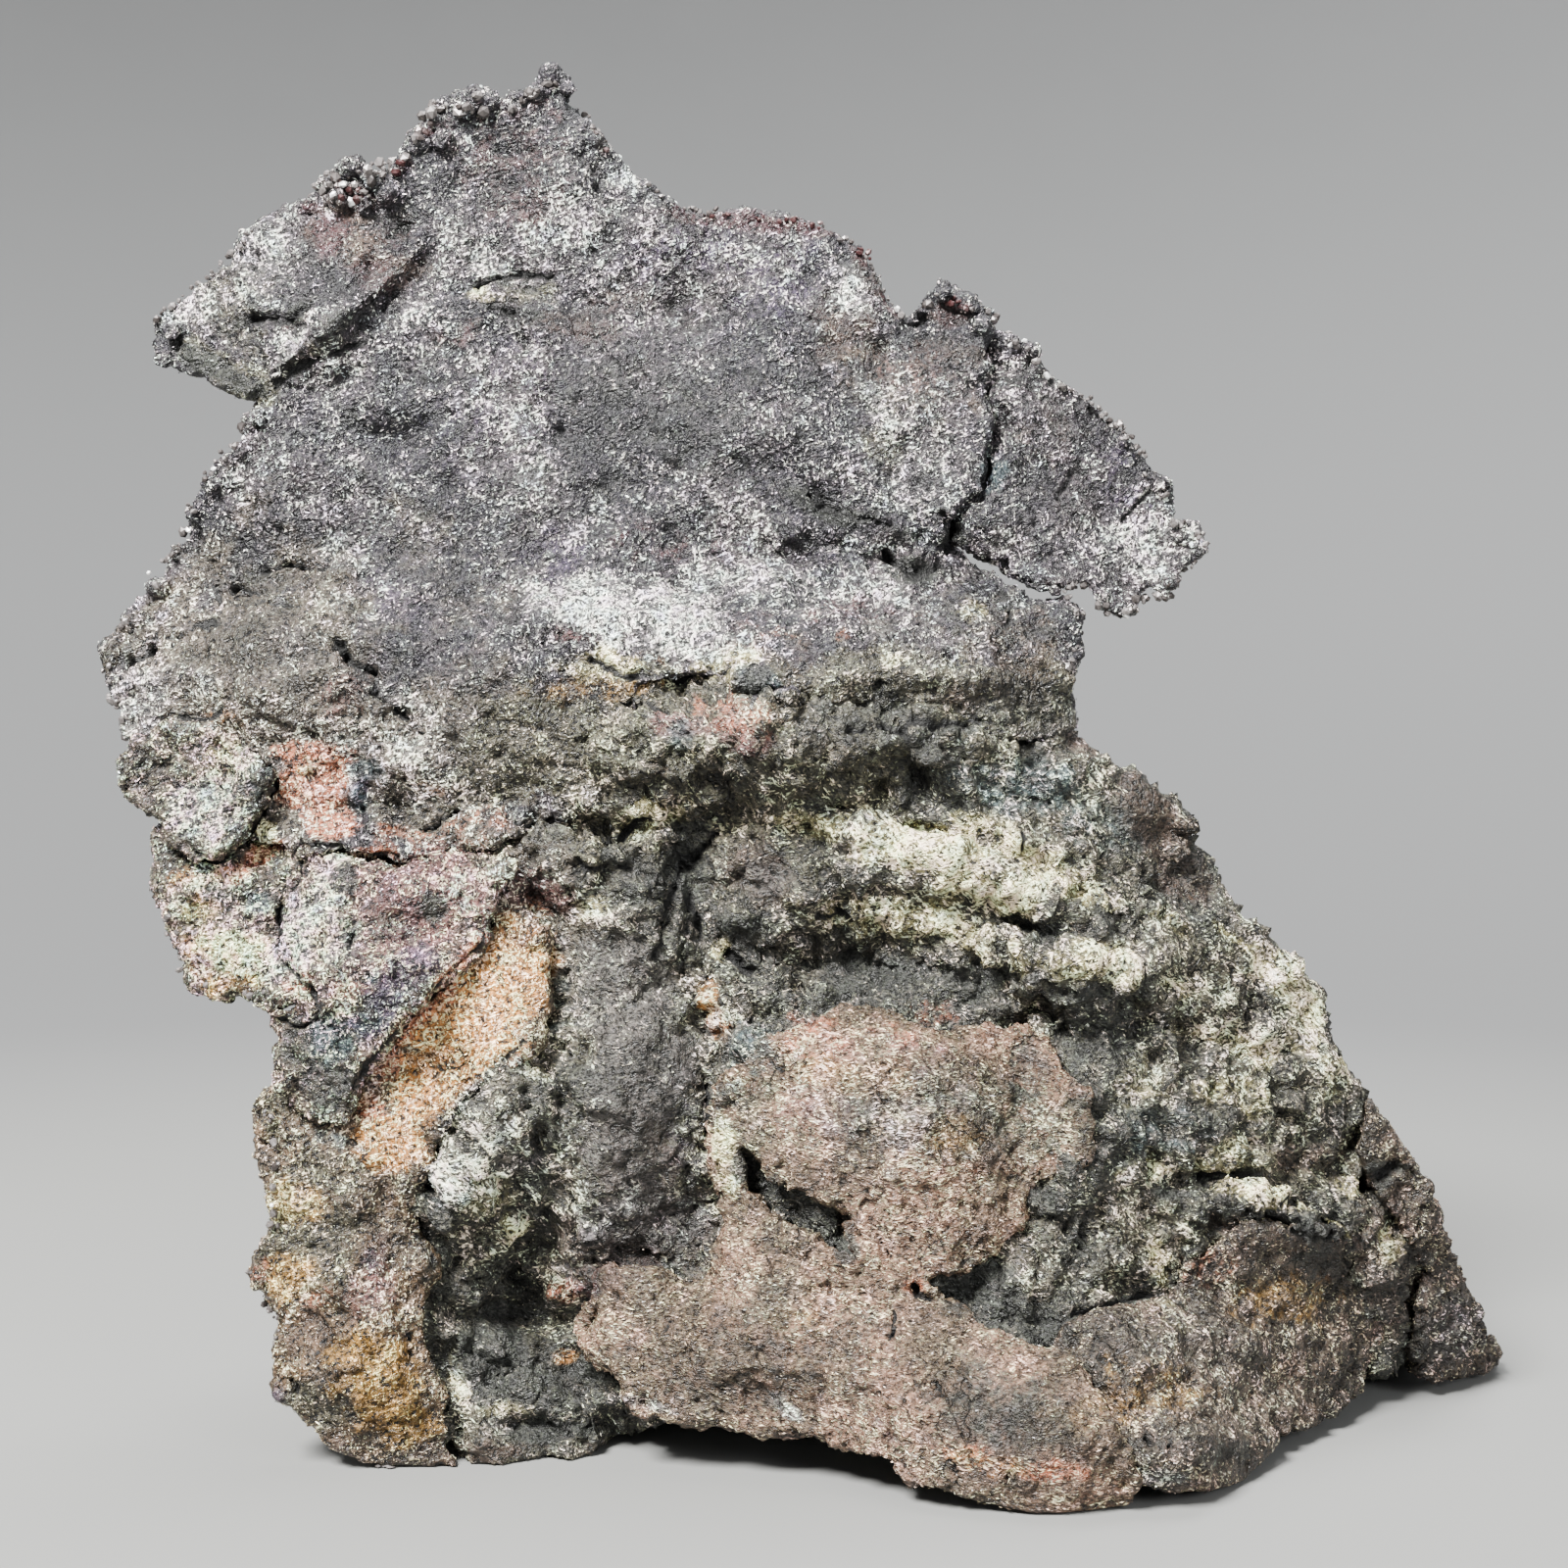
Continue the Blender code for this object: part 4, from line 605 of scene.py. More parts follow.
def towardsEye(points):
    return unitLong(np.array(standpoint["eye"]) - points)


def turnedToEye(piece, points):
    return (vertexNormals(piece) * towardsEye(points)).sum(axis=1)


# how far the surface turns to the eye, as a cosine: where that starts to count and where it counts in full
turns = {"ahead": (-0.05, 0.35), "quiet": (-0.5, 0.0), "edgeOn": (0.75, 0.3)}


def facing(piece):
    # 1 where the surface looks towards the eye, 0 where it looks away
    return smoothStep(*turns["ahead"], turnedToEye(piece, vertexPlaces(piece)))


def closeTo(places, line, reach):
    low = np.min(line, axis=0) - reach
    high = np.max(line, axis=0) + reach
    return ((places > low) & (places < high)).all(axis=1)


def stainAndPaintedLightMasks(points, places, ahead):
    return {name: patchAmount(places, points, paintLayer["patches"], 31 * number + 5) * (0.1 + 0.9 * ahead)
            for number, (name, paintLayer) in enumerate(stainsAndPaintedLight.items())}


# how the placed lines wander, and how wide and how far they work, in millimetres or parts of the line's width
carving = {
    "crackReach": 3.0, "crackWander": ((0.5, 0.0023, 7), (0.3, 0.0010, 8)), "leastWidth": 0.05,
    "crackWidth": 0.95, "crackWidths": ((0.7, 0.0026, 6),), "crackEdge": (1.25, 0.45),
    "foldReach": 3.0, "foldWander": ((0.5, 0.004, 11),), "foldHeights": ((0.5, 0.0035, 12),),
    "ledgeReach": 12.0, "ledgeWander": ((1.3, 0.005, 9), (0.7, 0.0019, 10)), "ledgeStep": 0.35,
    "ledgeFade": 4.0, "ledgeEnds": (0.75, 0.4),
}


def carve(points, places, ahead, relief, groove):
    # the placed cracks, folds and ledges of the face
    for line, half, depth in cracks:
        near = closeTo(places, line, carving["crackReach"])
        wobble = addedNoise(points[near], carving["crackWander"])
        away = lineDistance(places[near] + wobble[:, None], line)[0]
        width = half * (carving["crackWidth"] + addedNoise(points[near], carving["crackWidths"]))
        away = away / np.maximum(width, carving["leastWidth"])
        cut = smoothStep(*carving["crackEdge"], away) * ahead[near]
        relief[near] -= millimetre * depth * cut
        groove[near] = np.maximum(groove[near], cut)
    for line, half, height in folds:
        near = closeTo(places, line, carving["foldReach"] * half)
        wobble = half * addedNoise(points[near], carving["foldWander"])
        away = lineDistance(places[near] + wobble[:, None], line)[0]
        rough = 1.0 + addedNoise(points[near], carving["foldHeights"])
        relief[near] += millimetre * height * np.exp(-(away / half) ** 2) * ahead[near] * rough
    for line, height in ledges:
        near = closeTo(places, line, carving["ledgeReach"])
        wobble = addedNoise(points[near], carving["ledgeWander"])
        away, side = lineDistance(places[near] + np.stack([0 * wobble, wobble], axis=1), line)
        fromMiddle = np.hypot(*(places[near] - np.mean(line, axis=0)).T)
        ends = fromMiddle / np.hypot(*(np.array(line[0]) - line[-1]))
        below = smoothStep(carving["ledgeStep"], -carving["ledgeStep"], away * side)
        below = below * np.exp(-away / carving["ledgeFade"]) * smoothStep(*carving["ledgeEnds"], ends)
        below = below * ahead[near]
        relief[near] += millimetre * height * below


# sizes of the waves in the relief, in metres, and how much of it the masks take or leave
waves = {
    "lumps": 0.010, "ridges": 0.0052, "grain": ((1.0, 0.0013, 90), (0.7, 0.0007, 91)), "ragged": 0.0044,
    "parting": 0.009, "parted": (0.08, 0.45), "seamDepth": 0.0005, "seamGroove": 0.45, "seamHeart": 0.2,
    "hollows": 0.003, "hollowRange": (0.1, -0.9), "hollowScales": 0.7, "hollowWaves": 0.3,
    "footRise": 0.0035, "swellRise": 0.004, "calmMost": 0.75, "calmSmooth": 0.7,
}
# for each size of scale: its share of the piece's own scale size, its weight, and the seam's width
scaleSizes = ((1.0, 1.0, 0.10), (0.42, 0.7, 0.17), (0.21, 0.42, 0.0))


def dress(name, look):
    piece = copyOfSolid(name, look["newName"])
    applyModifier(piece, "REMESH", mode="VOXEL", voxel_size=look["voxel"], use_smooth_shade=True)
    thinBack(piece, look["most"])
    applyModifier(piece, "SMOOTH", factor=0.5, iterations=2)
    points = vertexPlaces(piece)
    places = sightPlaces(points)
    aboveFoot = smoothStep(0.0, waves["swellRise"], points[:, 2])[:, None]
    points = points + swell(name, points, places) * facing(piece)[:, None] * aboveFoot
    placeVertices(piece, points)
    ahead = facing(piece)
    seed = look["seed"]
    masks = stainAndPaintedLightMasks(points, places, ahead)
    quiet = patchAmount(places, points, quiets, 3) * smoothStep(*turns["quiet"], turnedToEye(piece, points))
    calm = 1.0 - waves["calmMost"] * np.maximum(masks["smooth"] * waves["calmSmooth"], quiet)
    relief = look["lumps"] * cloudNoise(points, waves["lumps"], 3, seed) * calm
    groove = np.zeros(len(points))
    for share, weight, gap in scaleSizes:
        plates, meeting = flakes(points, look["scaleSize"] * share, seed + int(60 * share))
        relief += look["scales"] * weight * plates * calm
        if gap > 0.0:
            cloud = cloudNoise(points, waves["parting"], 3, seed + 140 + int(10 * share))
            parted = smoothStep(*waves["parted"], cloud)
            seam = smoothStep(gap, gap * waves["seamHeart"], meeting) * parted * calm
            relief -= waves["seamDepth"] * weight * seam
            groove = np.maximum(groove, seam * waves["seamGroove"])
    ridges = 1.0 - 2.0 * np.abs(cloudNoise(points, waves["ridges"], 3, seed + 80))
    relief += look["ridges"] * ridges * calm
    relief += look["grain"] * addedNoise(points, waves["grain"], seed)
    fine = relief.copy()
    edgeOn = smoothStep(*turns["edgeOn"], np.abs(turnedToEye(piece, points)))
    relief += look["ragged"] * cloudNoise(points, waves["ragged"], 3, seed + 60) * edgeOn * calm
    carve(points, places, ahead, relief, groove)
    relief *= smoothStep(0.0, waves["footRise"], points[:, 2])     # the foot stays flat
    moved = vertexPlaces(piece) + vertexNormals(piece) * relief[:, None]
    moved[:, 2] = np.maximum(moved[:, 2], 0.0)
    placeVertices(piece, moved)
    # the groove and hollow masks mark cracks, seams and sunk places, where the finish paints shade
    masks["groove"] = groove
    sunk = fine / look["scales"] * waves["hollowScales"]
    sunk = sunk + waves["hollowWaves"] * cloudNoise(points, waves["hollows"], 2, seed + 120)
    masks["hollow"] = smoothStep(*waves["hollowRange"], sunk)
    storeMasks(piece.data, masks)
    makeActive(piece)
    bpy.ops.object.shade_smooth()
    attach(piece, "root")
    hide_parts(name)
    print("stage:", look["newName"], triangleCount(piece), "triangles")
    return piece, masks, ahead


def bladeTemplate():
    # one short crystal blade: a three sided ring drawn to a point at both ends
    deselectAll()
    bpy.ops.mesh.primitive_circle_add(vertices=3, radius=0.5, rotation=(0.0, math.radians(90.0), 0.0))
    blade = bpy.context.object
    bpy.ops.object.transform_apply(location=False, rotation=True, scale=False)
    bpy.ops.object.mode_set(mode="EDIT")
    for reach in (0.5, -0.5):
        bpy.ops.mesh.select_all(action="DESELECT")
        bpy.ops.object.mode_set(mode="OBJECT")
        for vertex in list(blade.data.vertices)[:3]:
            vertex.select = True
        for edge in list(blade.data.edges)[:3]:
            edge.select = True
        bpy.ops.object.mode_set(mode="EDIT")
        bpy.ops.mesh.extrude_edges_move(TRANSFORM_OT_translate={"value": (reach, 0.0, 0.0)})
        bpy.ops.mesh.merge(type="CENTER")
    bpy.ops.mesh.select_all(action="SELECT")
    bpy.ops.mesh.normals_make_consistent(inside=False)
    bpy.ops.object.mode_set(mode="OBJECT")
    return takeTemplate(blade)


def knobTemplate():
    # one lump of a crystal cluster
    deselectAll()
    bpy.ops.mesh.primitive_ico_sphere_add(subdivisions=1, radius=0.5)
    knob = bpy.context.object
    bpy.ops.object.mode_set(mode="EDIT")
    bpy.ops.mesh.select_all(action="SELECT")
    bpy.ops.transform.vertex_random(offset=0.12, seed=4)
    bpy.ops.mesh.normals_make_consistent(inside=False)
    bpy.ops.object.mode_set(mode="OBJECT")
    return takeTemplate(knob)


def takeTemplate(shape):
    shape.data.update()
    shape.data.calc_loop_triangles()
    corners = vertexPlaces(shape)
    faces = np.array([list(face.vertices) for face in shape.data.loop_triangles])
    mesh = shape.data
    bpy.data.objects.remove(shape)
    bpy.data.meshes.remove(mesh)
    return corners, faces


def scatter(newName, template, spots, axes, sizes, masks):
    # copies of one small shape, joined into one piece
    corners, faces = template
    count = len(spots)
    shaped = corners[None, :, :] * sizes[:, None, :]
    placed = np.einsum("nci,nij->ncj", shaped, axes) + spots[:, None, :]
    placed[:, :, 2] = np.maximum(placed[:, :, 2], aboveGround)
    indices = (faces[None, :, :] + (np.arange(count) * len(corners))[:, None, None]).reshape(-1, 3)
    mesh = bpy.data.meshes.new(newName)
    mesh.from_pydata(placed.reshape(-1, 3).tolist(), [], indices.tolist())
    storeMasks(mesh, {name: np.repeat(amount, len(corners)) for name, amount in masks.items()})
    piece = bpy.data.objects.new(newName, mesh)
    bpy.context.scene.collection.objects.link(piece)
    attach(piece, "root")
    print("stage:", newName, len(indices), "triangles")
    return piece


def axesFor(normals, along):
    # along, across and up for each copy, with along laid into the surface
    along = along - (along * normals).sum(axis=1)[:, None] * normals
    along /= np.maximum(np.linalg.norm(along, axis=1), 1e-6)[:, None]
    return np.stack([along, np.cross(normals, along), normals], axis=1)


# how the blades stand: lengths in metres, the rest in parts of a blade or of the surface
bladeHabit = {
    "lowest": 0.0006, "lean": 0.55, "level": 0.25, "flatness": 0.85, "seat": 0.12, "shift": 0.0004,
    "clumpEdge": (-0.55, 0.35), "ahead": (0.25, 0.75), "clumps": (0.35, 0.9), "offGrooves": 0.97,
    "lengths": (0.55, 0.9), "fewLong": 1.5, "widths": (0.7, 0.7),
}
squareMillimetres = 1e6


def growBlades(piece, masks, ahead, look):
    mesh = piece.data
    count = len(mesh.polygons)
    areas, starts = np.empty(count), np.empty(count, dtype=np.int32)
    mesh.polygons.foreach_get("area", areas)
    mesh.polygons.foreach_get("loop_start", starts)
    owners = np.empty(len(mesh.loops), dtype=np.int32)
    mesh.loops.foreach_get("vertex_index", owners)
    first = owners[starts]
    centres, normals = vectorsOf(mesh.polygons, "center"), vectorsOf(mesh.polygons, "normal")
    random = np.random.default_rng(look["seed"])
    cloud = cloudNoise(centres, look["clumpSize"], 3, look["seed"] + 200)
    clump = smoothStep(*(look["clump"] + edge for edge in bladeHabit["clumpEdge"]), cloud)
    density = look["blades"] * partly(bladeHabit["ahead"], ahead[first]) * partly(bladeHabit["clumps"], clump)
    for name, paintLayer in stainsAndPaintedLight.items():
        density = density * (1.0 + (paintLayer["keep"] - 1.0) * masks[name][first])
    density = density * (1.0 - bladeHabit["offGrooves"] * masks["groove"][first])
    density = density * (centres[:, 2] > bladeHabit["lowest"])
    chosen = np.nonzero(random.random(count) < areas * squareMillimetres * density)[0]
    random.shuffle(chosen)
    chosen = chosen[:look["mostBlades"]]
    spots, normals, first = centres[chosen], normals[chosen], first[chosen]
    number = len(chosen)
    lie = np.radians(look["lie"][0] + look["lie"][1] * (random.random(number) * 2.0 - 1.0))
    along = np.stack([np.cos(lie), bladeHabit["level"] * (random.random(number) - 0.5), np.sin(lie)], axis=1)
    lean = normals + bladeHabit["lean"] * (random.random((number, 3)) - 0.5)
    axes = axesFor(unitLong(lean), along)
    length = look["bladeLength"] * partly(bladeHabit["lengths"], random.random(number) ** bladeHabit["fewLong"])
    width = look["bladeWidth"] * partly(bladeHabit["widths"], random.random(number))
    sizes = np.stack([length, width, width * bladeHabit["flatness"]], axis=1)
    shift = (random.random((number, 3)) - 0.5) * bladeHabit["shift"]
    spots = spots + normals * (width * bladeHabit["seat"])[:, None] + shift
    own = {name: masks[name][first] for name in stainsAndPaintedLight}
    own["shine"] = random.random(number)
    return scatter(look["newName"] + "Blades", bladeMesh, spots, axes, sizes, own)


class Flow:
    # one output of a material's node; arithmetic on it adds Math nodes
    def __init__(self, paint, socket):
        self.paint, self.socket = paint, socket


def arithmetic(operation, turned):
    def result(flow, other):
        return flow.paint.math(operation, *((other, flow) if turned else (flow, other)))
    return result


for word, operation in (("add", "ADD"), ("sub", "SUBTRACT"), ("mul", "MULTIPLY")):
    setattr(Flow, "__" + word + "__", arithmetic(operation, False))
    setattr(Flow, "__r" + word + "__", arithmetic(operation, True))


class Paint:
    # one material and everything that is wired in it
    def __init__(self, name):
        self.material = bpy.data.materials.new(name)
        self.material.use_nodes = True
        self.tree = self.material.node_tree
        self.shader = self.tree.nodes["Principled BSDF"]
        self.coordinates = self.node("ShaderNodeTexCoord", {}, {}, "Object")

    def wire(self, socket, value):
        if isinstance(value, Flow):
            self.tree.links.new(value.socket, socket)
        elif isinstance(value, tuple) and socket.type == "RGBA" and len(value) == 3:
            socket.default_value = (*value, 1.0)
        else:
            socket.default_value = value

    def node(self, kind, settings, inputs, output=0):
        made = self.tree.nodes.new(kind)
        for key, value in settings.items():
            setattr(made, key, value)
        for key, value in inputs.items():
            self.wire(made.inputs[key], value)
        return Flow(self, made.outputs[output])

    def math(self, operation, first, second=0.0):
        return self.node("ShaderNodeMath", {"operation": operation}, {0: first, 1: second})

    def clamped(self, value):
        return self.node("ShaderNodeClamp", {}, {"Value": value}, "Result")

    def fit(self, value, low, high):
        settings = {"interpolation_type": "SMOOTHSTEP"}
        return self.node("ShaderNodeMapRange", settings, {"Value": value, "From Min": low, "From Max": high})

    def vector(self, operation, first, second=None, output=0):
        inputs = {0: first} if second is None else {0: first, 1: second}
        return self.node("ShaderNodeVectorMath", {"operation": operation}, inputs, output)

    def scaled(self, value, amount):
        return self.node("ShaderNodeVectorMath", {"operation": "SCALE"}, {0: value, "Scale": amount})

    def mixed(self, share, first, second):
        return self.node("ShaderNodeMix", {"data_type": "RGBA"}, {0: share, 6: first, 7: second}, 2)

    def finished(self, colour, roughness, metallic=0.0):
        for key, value in (("Base Color", colour), ("Roughness", roughness), ("Metallic", metallic)):
            self.wire(self.shader.inputs[key], value)
        return self.material

    def mask(self, name):
        return self.node("ShaderNodeAttribute", {"attribute_name": name}, {}, "Fac")

    def noise(self, size, detail=2.0, roughness=0.55, where=None):
        inputs = {"Vector": where or self.coordinates, "Scale": 1.0 / size, "Detail": detail,
                  "Roughness": roughness}
        return self.node("ShaderNodeTexNoise", {}, inputs, "Fac")

    def noiseColour(self, size):
        inputs = {"Vector": self.coordinates, "Scale": 1.0 / size, "Detail": 2.0}
        return self.node("ShaderNodeTexNoise", {}, inputs, "Color")

    def streaks(self, size, lie, stretch, shift):
        # noise drawn out along one line across the front, lie in degrees up from level
        inputs = {"Vector": self.coordinates, "Location": shift, "Rotation": (0.0, -math.radians(lie), 0.0),
                  "Scale": (stretch, 1.0, 1.0)}
        turned = self.node("ShaderNodeMapping", {"vector_type": "TEXTURE"}, inputs)
        return self.noise(size, 2.0, 0.55, turned)


layerEdge = {"size": 0.0022, "swing": 1.6, "near": (0.0, 0.15), "cut": (0.18, 0.82)}


def tornBorder(paint):
    # from -0.8 to 0.8, mostly near 0
    return (paint.noise(layerEdge["size"], 4.0, 0.70) - 0.5) * layerEdge["swing"]


def withStainsAndPaintedLight(body, blade, paint, border, masks):
    # the colour patches and the painted light one over another; returns both colours
    for name, paintLayer in stainsAndPaintedLight.items():
        here = masks[name]
        share = paint.fit(here + border * paint.fit(here, *layerEdge["near"]), *layerEdge["cut"])
        body = paint.mixed(share * paintLayer["share"], body, paintLayer["body"])
        blade = paint.mixed(share * paintLayer["share"], blade, paintLayer["blade"])
    return body, blade


hues = {"size": 0.0034, "first": -0.05, "turns": 2.4, "depth": 0.5}


def rainbow(paint, colour, amount):
    # the thin tarnish films give the flecks a little of every hue
    hue = paint.math("FRACT", paint.noise(hues["size"], 3.0, 0.65) * hues["turns"] + hues["first"])
    tints = paint.node("ShaderNodeCombineColor", {"mode": "HSV"}, {0: hue, 1: hues["depth"], 2: 1.0})
    settings = {"data_type": "RGBA", "blend_type": "MULTIPLY"}
    return paint.node("ShaderNodeMix", settings, {0: amount, 6: colour, 7: tints}, 2)


# how much each colour layer, painted light included, adds to or takes from the flecks
moreFlecks = {"pale": 1.1, "cream": 1.6, "gold": 1.1, "rust": 1.1, "ochre": 0.3,
              "dark": -0.9, "smooth": -0.4, "wine": -0.3, "umber": -0.6}
# sizes of the noises in the crystal finish, in metres
crystalSizes = {"grain": 0.0007, "middle": 0.0030, "wide": 0.0115, "bend": 0.0038, "bendBy": 0.0060,
                "seams": 0.0080}
# three sets of strokes: size, turn in parts of the spread, stretch, and where their noise starts
strokeSets = ((1.0, -1.0, 1.0, (0.0, 0.0, 0.0)), (0.8, 1.0, 1.0, (0.011, 0.007, 0.023)),
              (0.85, 0.4, 0.8, (0.031, 0.019, 0.005)))
# where a stroke is a fleck: the threshold, how far each unit of `amount` lowers it, and its soft edge
fleckCut = {"start": 0.675, "perAmount": 0.085, "edge": 0.038}
# the ranges in which a noise or a mask takes its effect
spans = {
    "seamLine": (0.050, 0.012), "seamPlaces": (0.54, 0.64), "warm": (0.38, 0.62), "clumps": (0.36, 0.62),
    "wideClumps": (0.40, 0.62), "grainTone": (0.32, 0.68), "wideTone": (0.36, 0.64), "brightTone": (0.30, 0.66),
    "dimAmount": (-1.2, 1.2), "dimStrokes": (0.52, 0.60), "gap": (0.71, 0.60), "groove": (0.3, 0.8),
}
# how much each counts; a pair is the start and what comes on top of it
weights = {
    "clumps": 1.2, "wideClumps": 0.8, "fewInHollows": 0.9, "grainTone": (0.3, 1.5), "wideTone": (0.6, 0.8),
    "toneBorder": 0.08, "brightTone": (0.6, 0.5), "dim": (0.35, 0.8), "gapGrain": 0.5, "shadeInGroove": 0.97,
    "shadeInHollow": 0.55, "shadeInSeam": 0.65, "highStrokes": 1.6, "highGrain": 0.8, "highFlecks": 0.35,
    "lowSeam": 0.8, "roughGrain": 0.4, "roughGroove": 0.3, "shine": 0.3,
}


def crystalFinish(name, look):
    # matted crystals: dark gaps, a mid body and bright strokes, the strokes partly the crystals' own bright
    # colour and partly painted glints; the masks add colour patches, painted shade and painted highlights
    paint = Paint(name)
    masks = {mask: paint.mask(mask) for mask in stainsAndPaintedLight}
    groove, hollow = paint.mask("groove"), paint.mask("hollow")
    grain = paint.noise(crystalSizes["grain"], 3.0, 0.62)
    middle = paint.noise(crystalSizes["middle"], 3.0, 0.60)
    wide = paint.noise(crystalSizes["wide"], 3.0, 0.60)
    border = tornBorder(paint)
    lie, spread = look["lie"]
    first, second, third = [
        paint.streaks(look["stroke"] * size, lie + turn * spread, look["stretch"] * stretch, start)
        for size, turn, stretch, start in strokeSets]
    strokes = paint.math("MAXIMUM", first, second)
    bend = paint.scaled(paint.noiseColour(crystalSizes["bend"]), crystalSizes["bendBy"])
    bent = paint.vector("ADD", paint.coordinates, bend)
    cells = {"Vector": bent, "Scale": 1.0 / look["cell"]}
    seam = paint.node("ShaderNodeTexVoronoi", {"feature": "DISTANCE_TO_EDGE"}, cells, "Distance")
    seamHere = paint.fit(paint.noise(crystalSizes["seams"], 2.0), *spans["seamPlaces"])
    seam = paint.fit(seam, *spans["seamLine"]) * seamHere
    body = paint.mixed(paint.fit(wide, *spans["warm"]), look["body"], look["bodyWarm"])
    body, bright = withStainsAndPaintedLight(body, paint.mixed(middle, look["fleckAndGlint"], look["fleckAndGlintWarm"]), paint, border, masks)
    amount = paint.fit(middle, *spans["clumps"]) * look["clumps"] * weights["clumps"]
    amount = amount + paint.fit(wide, *spans["wideClumps"]) * look["clumps"] * weights["wideClumps"]
    amount = amount + look["flecks"]
    for mask, share in moreFlecks.items():
        amount = amount + masks[mask] * share
    amount = paint.math("MINIMUM", amount - hollow * weights["fewInHollows"], look["fullest"])
    low = fleckCut["start"] - amount * fleckCut["perAmount"]
    # bright strokes: partly the crystals' own bright colour, partly painted glints
    fleckAndGlintHere = paint.fit(strokes, low, low + fleckCut["edge"]) * (1.0 - groove)
    tone = partly(weights["grainTone"], paint.fit(grain, *spans["grainTone"]))
    wideTone = paint.fit(wide + border * weights["toneBorder"], *spans["wideTone"])
    colour = paint.scaled(body, tone * partly(weights["wideTone"], wideTone))
    lightness = partly(weights["brightTone"], paint.fit(grain, *spans["brightTone"]))
    bright = rainbow(paint, paint.scaled(bright, lightness), look["rainbow"])
    dim = paint.clamped(partly(weights["dim"], paint.fit(amount, *spans["dimAmount"])))
    dim = paint.fit(third, *spans["dimStrokes"]) * dim * look["dim"]
    colour = paint.mixed(dim, colour, bright)
    colour = paint.mixed(fleckAndGlintHere, colour, bright)
    gap = paint.fit(first + grain * weights["gapGrain"], *spans["gap"]) * (1.0 - fleckAndGlintHere)
    colour = paint.mixed(gap * look["gaps"], colour, look["gap"])
    # painted shade: cracks, seams and sunk places turn towards a near black colour
    paintedShade = paint.fit(groove, *spans["groove"]) * weights["shadeInGroove"]
    paintedShade = paintedShade + hollow * weights["shadeInHollow"] + seam * weights["shadeInSeam"]
    colour = paint.mixed(paint.clamped(paintedShade), colour, look["paintedShade"])
    height = strokes * weights["highStrokes"] + grain * weights["highGrain"] + fleckAndGlintHere * weights["highFlecks"]
    height = height - seam * weights["lowSeam"]
    bump = paint.node("ShaderNodeBump", {}, {"Height": height, "Distance": look["bump"], "Strength": 1.0})
    paint.wire(paint.shader.inputs["Normal"], bump)
    paint.wire(paint.shader.inputs["Specular IOR Level"], weights["shine"])
    rough = look["roughness"] + (grain - 0.5) * weights["roughGrain"] + groove * weights["roughGroove"]
    return paint.finished(colour, paint.clamped(rough), paint.clamped(fleckAndGlintHere * look["metal"]))


# what brightens and what dulls a blade, beside its own draw
bladeLight = {"pale": 0.4, "cream": 0.4, "gold": 0.15, "dark": -0.6}
bladeTone = {"cloudSize": 0.003, "cloud": 1.5, "smooth": 0.4, "range": 0.7, "speckSize": 0.0005,
             "speck": (0.72, 0.5), "roughness": (0.30, 0.22)}


def bladeFinish(name, look):
    # the standing blades: bright to dull from blade to blade, the bright ones partly painted glints, and
    # coloured and painted like the face they grow on
    paint = Paint(name)
    shine = paint.mask("shine")
    masks = {mask: paint.mask(mask) for mask in stainsAndPaintedLight}
    body, bright = withStainsAndPaintedLight(look["body"], look["fleckAndGlint"], paint, tornBorder(paint), masks)
    lit = shine
    for mask, share in bladeLight.items():
        lit = lit + masks[mask] * share
    lit = lit + (paint.noise(bladeTone["cloudSize"], 3.0) - 0.5) * bladeTone["cloud"]
    lit = lit - masks["smooth"] * bladeTone["smooth"]
    lit = paint.fit(lit, look["dull"], look["dull"] + bladeTone["range"])
    lightness = partly(bladeTone["speck"], paint.noise(bladeTone["speckSize"], 1.0))
    bright = rainbow(paint, paint.scaled(bright, lightness), look["rainbow"])
    rough = partly(bladeTone["roughness"], shine)
    return paint.finished(paint.mixed(lit, body, bright), rough, lit * look["metal"])


clusterLook = {"dull": (0.030, 0.024, 0.022), "lighter": (0.16, 0.145, 0.14), "wine": (0.036, 0.011, 0.011),
               "bright": (0.90, 0.89, 0.87), "metal": 0.55, "winePlaces": (0.2, 0.7),
               "brightFew": (0.965, 0.985), "roughSize": 0.0006, "roughness": (0.12, 0.5)}


def knobFinish(name):
    # the crystal clusters along the edges: dark, brownish and glossy, a face here and there bright
    paint = Paint(name)
    shine = paint.mask("shine")
    body = paint.mixed(shine, clusterLook["dull"], clusterLook["lighter"])
    wine = paint.fit(paint.mask("wine"), *clusterLook["winePlaces"])
    body = paint.mixed(wine, body, clusterLook["wine"])
    colour = paint.mixed(paint.fit(shine, *clusterLook["brightFew"]), body, clusterLook["bright"])
    rough = partly(clusterLook["roughness"], paint.noise(clusterLook["roughSize"], 2.0))
    return paint.finished(colour, rough, clusterLook["metal"])


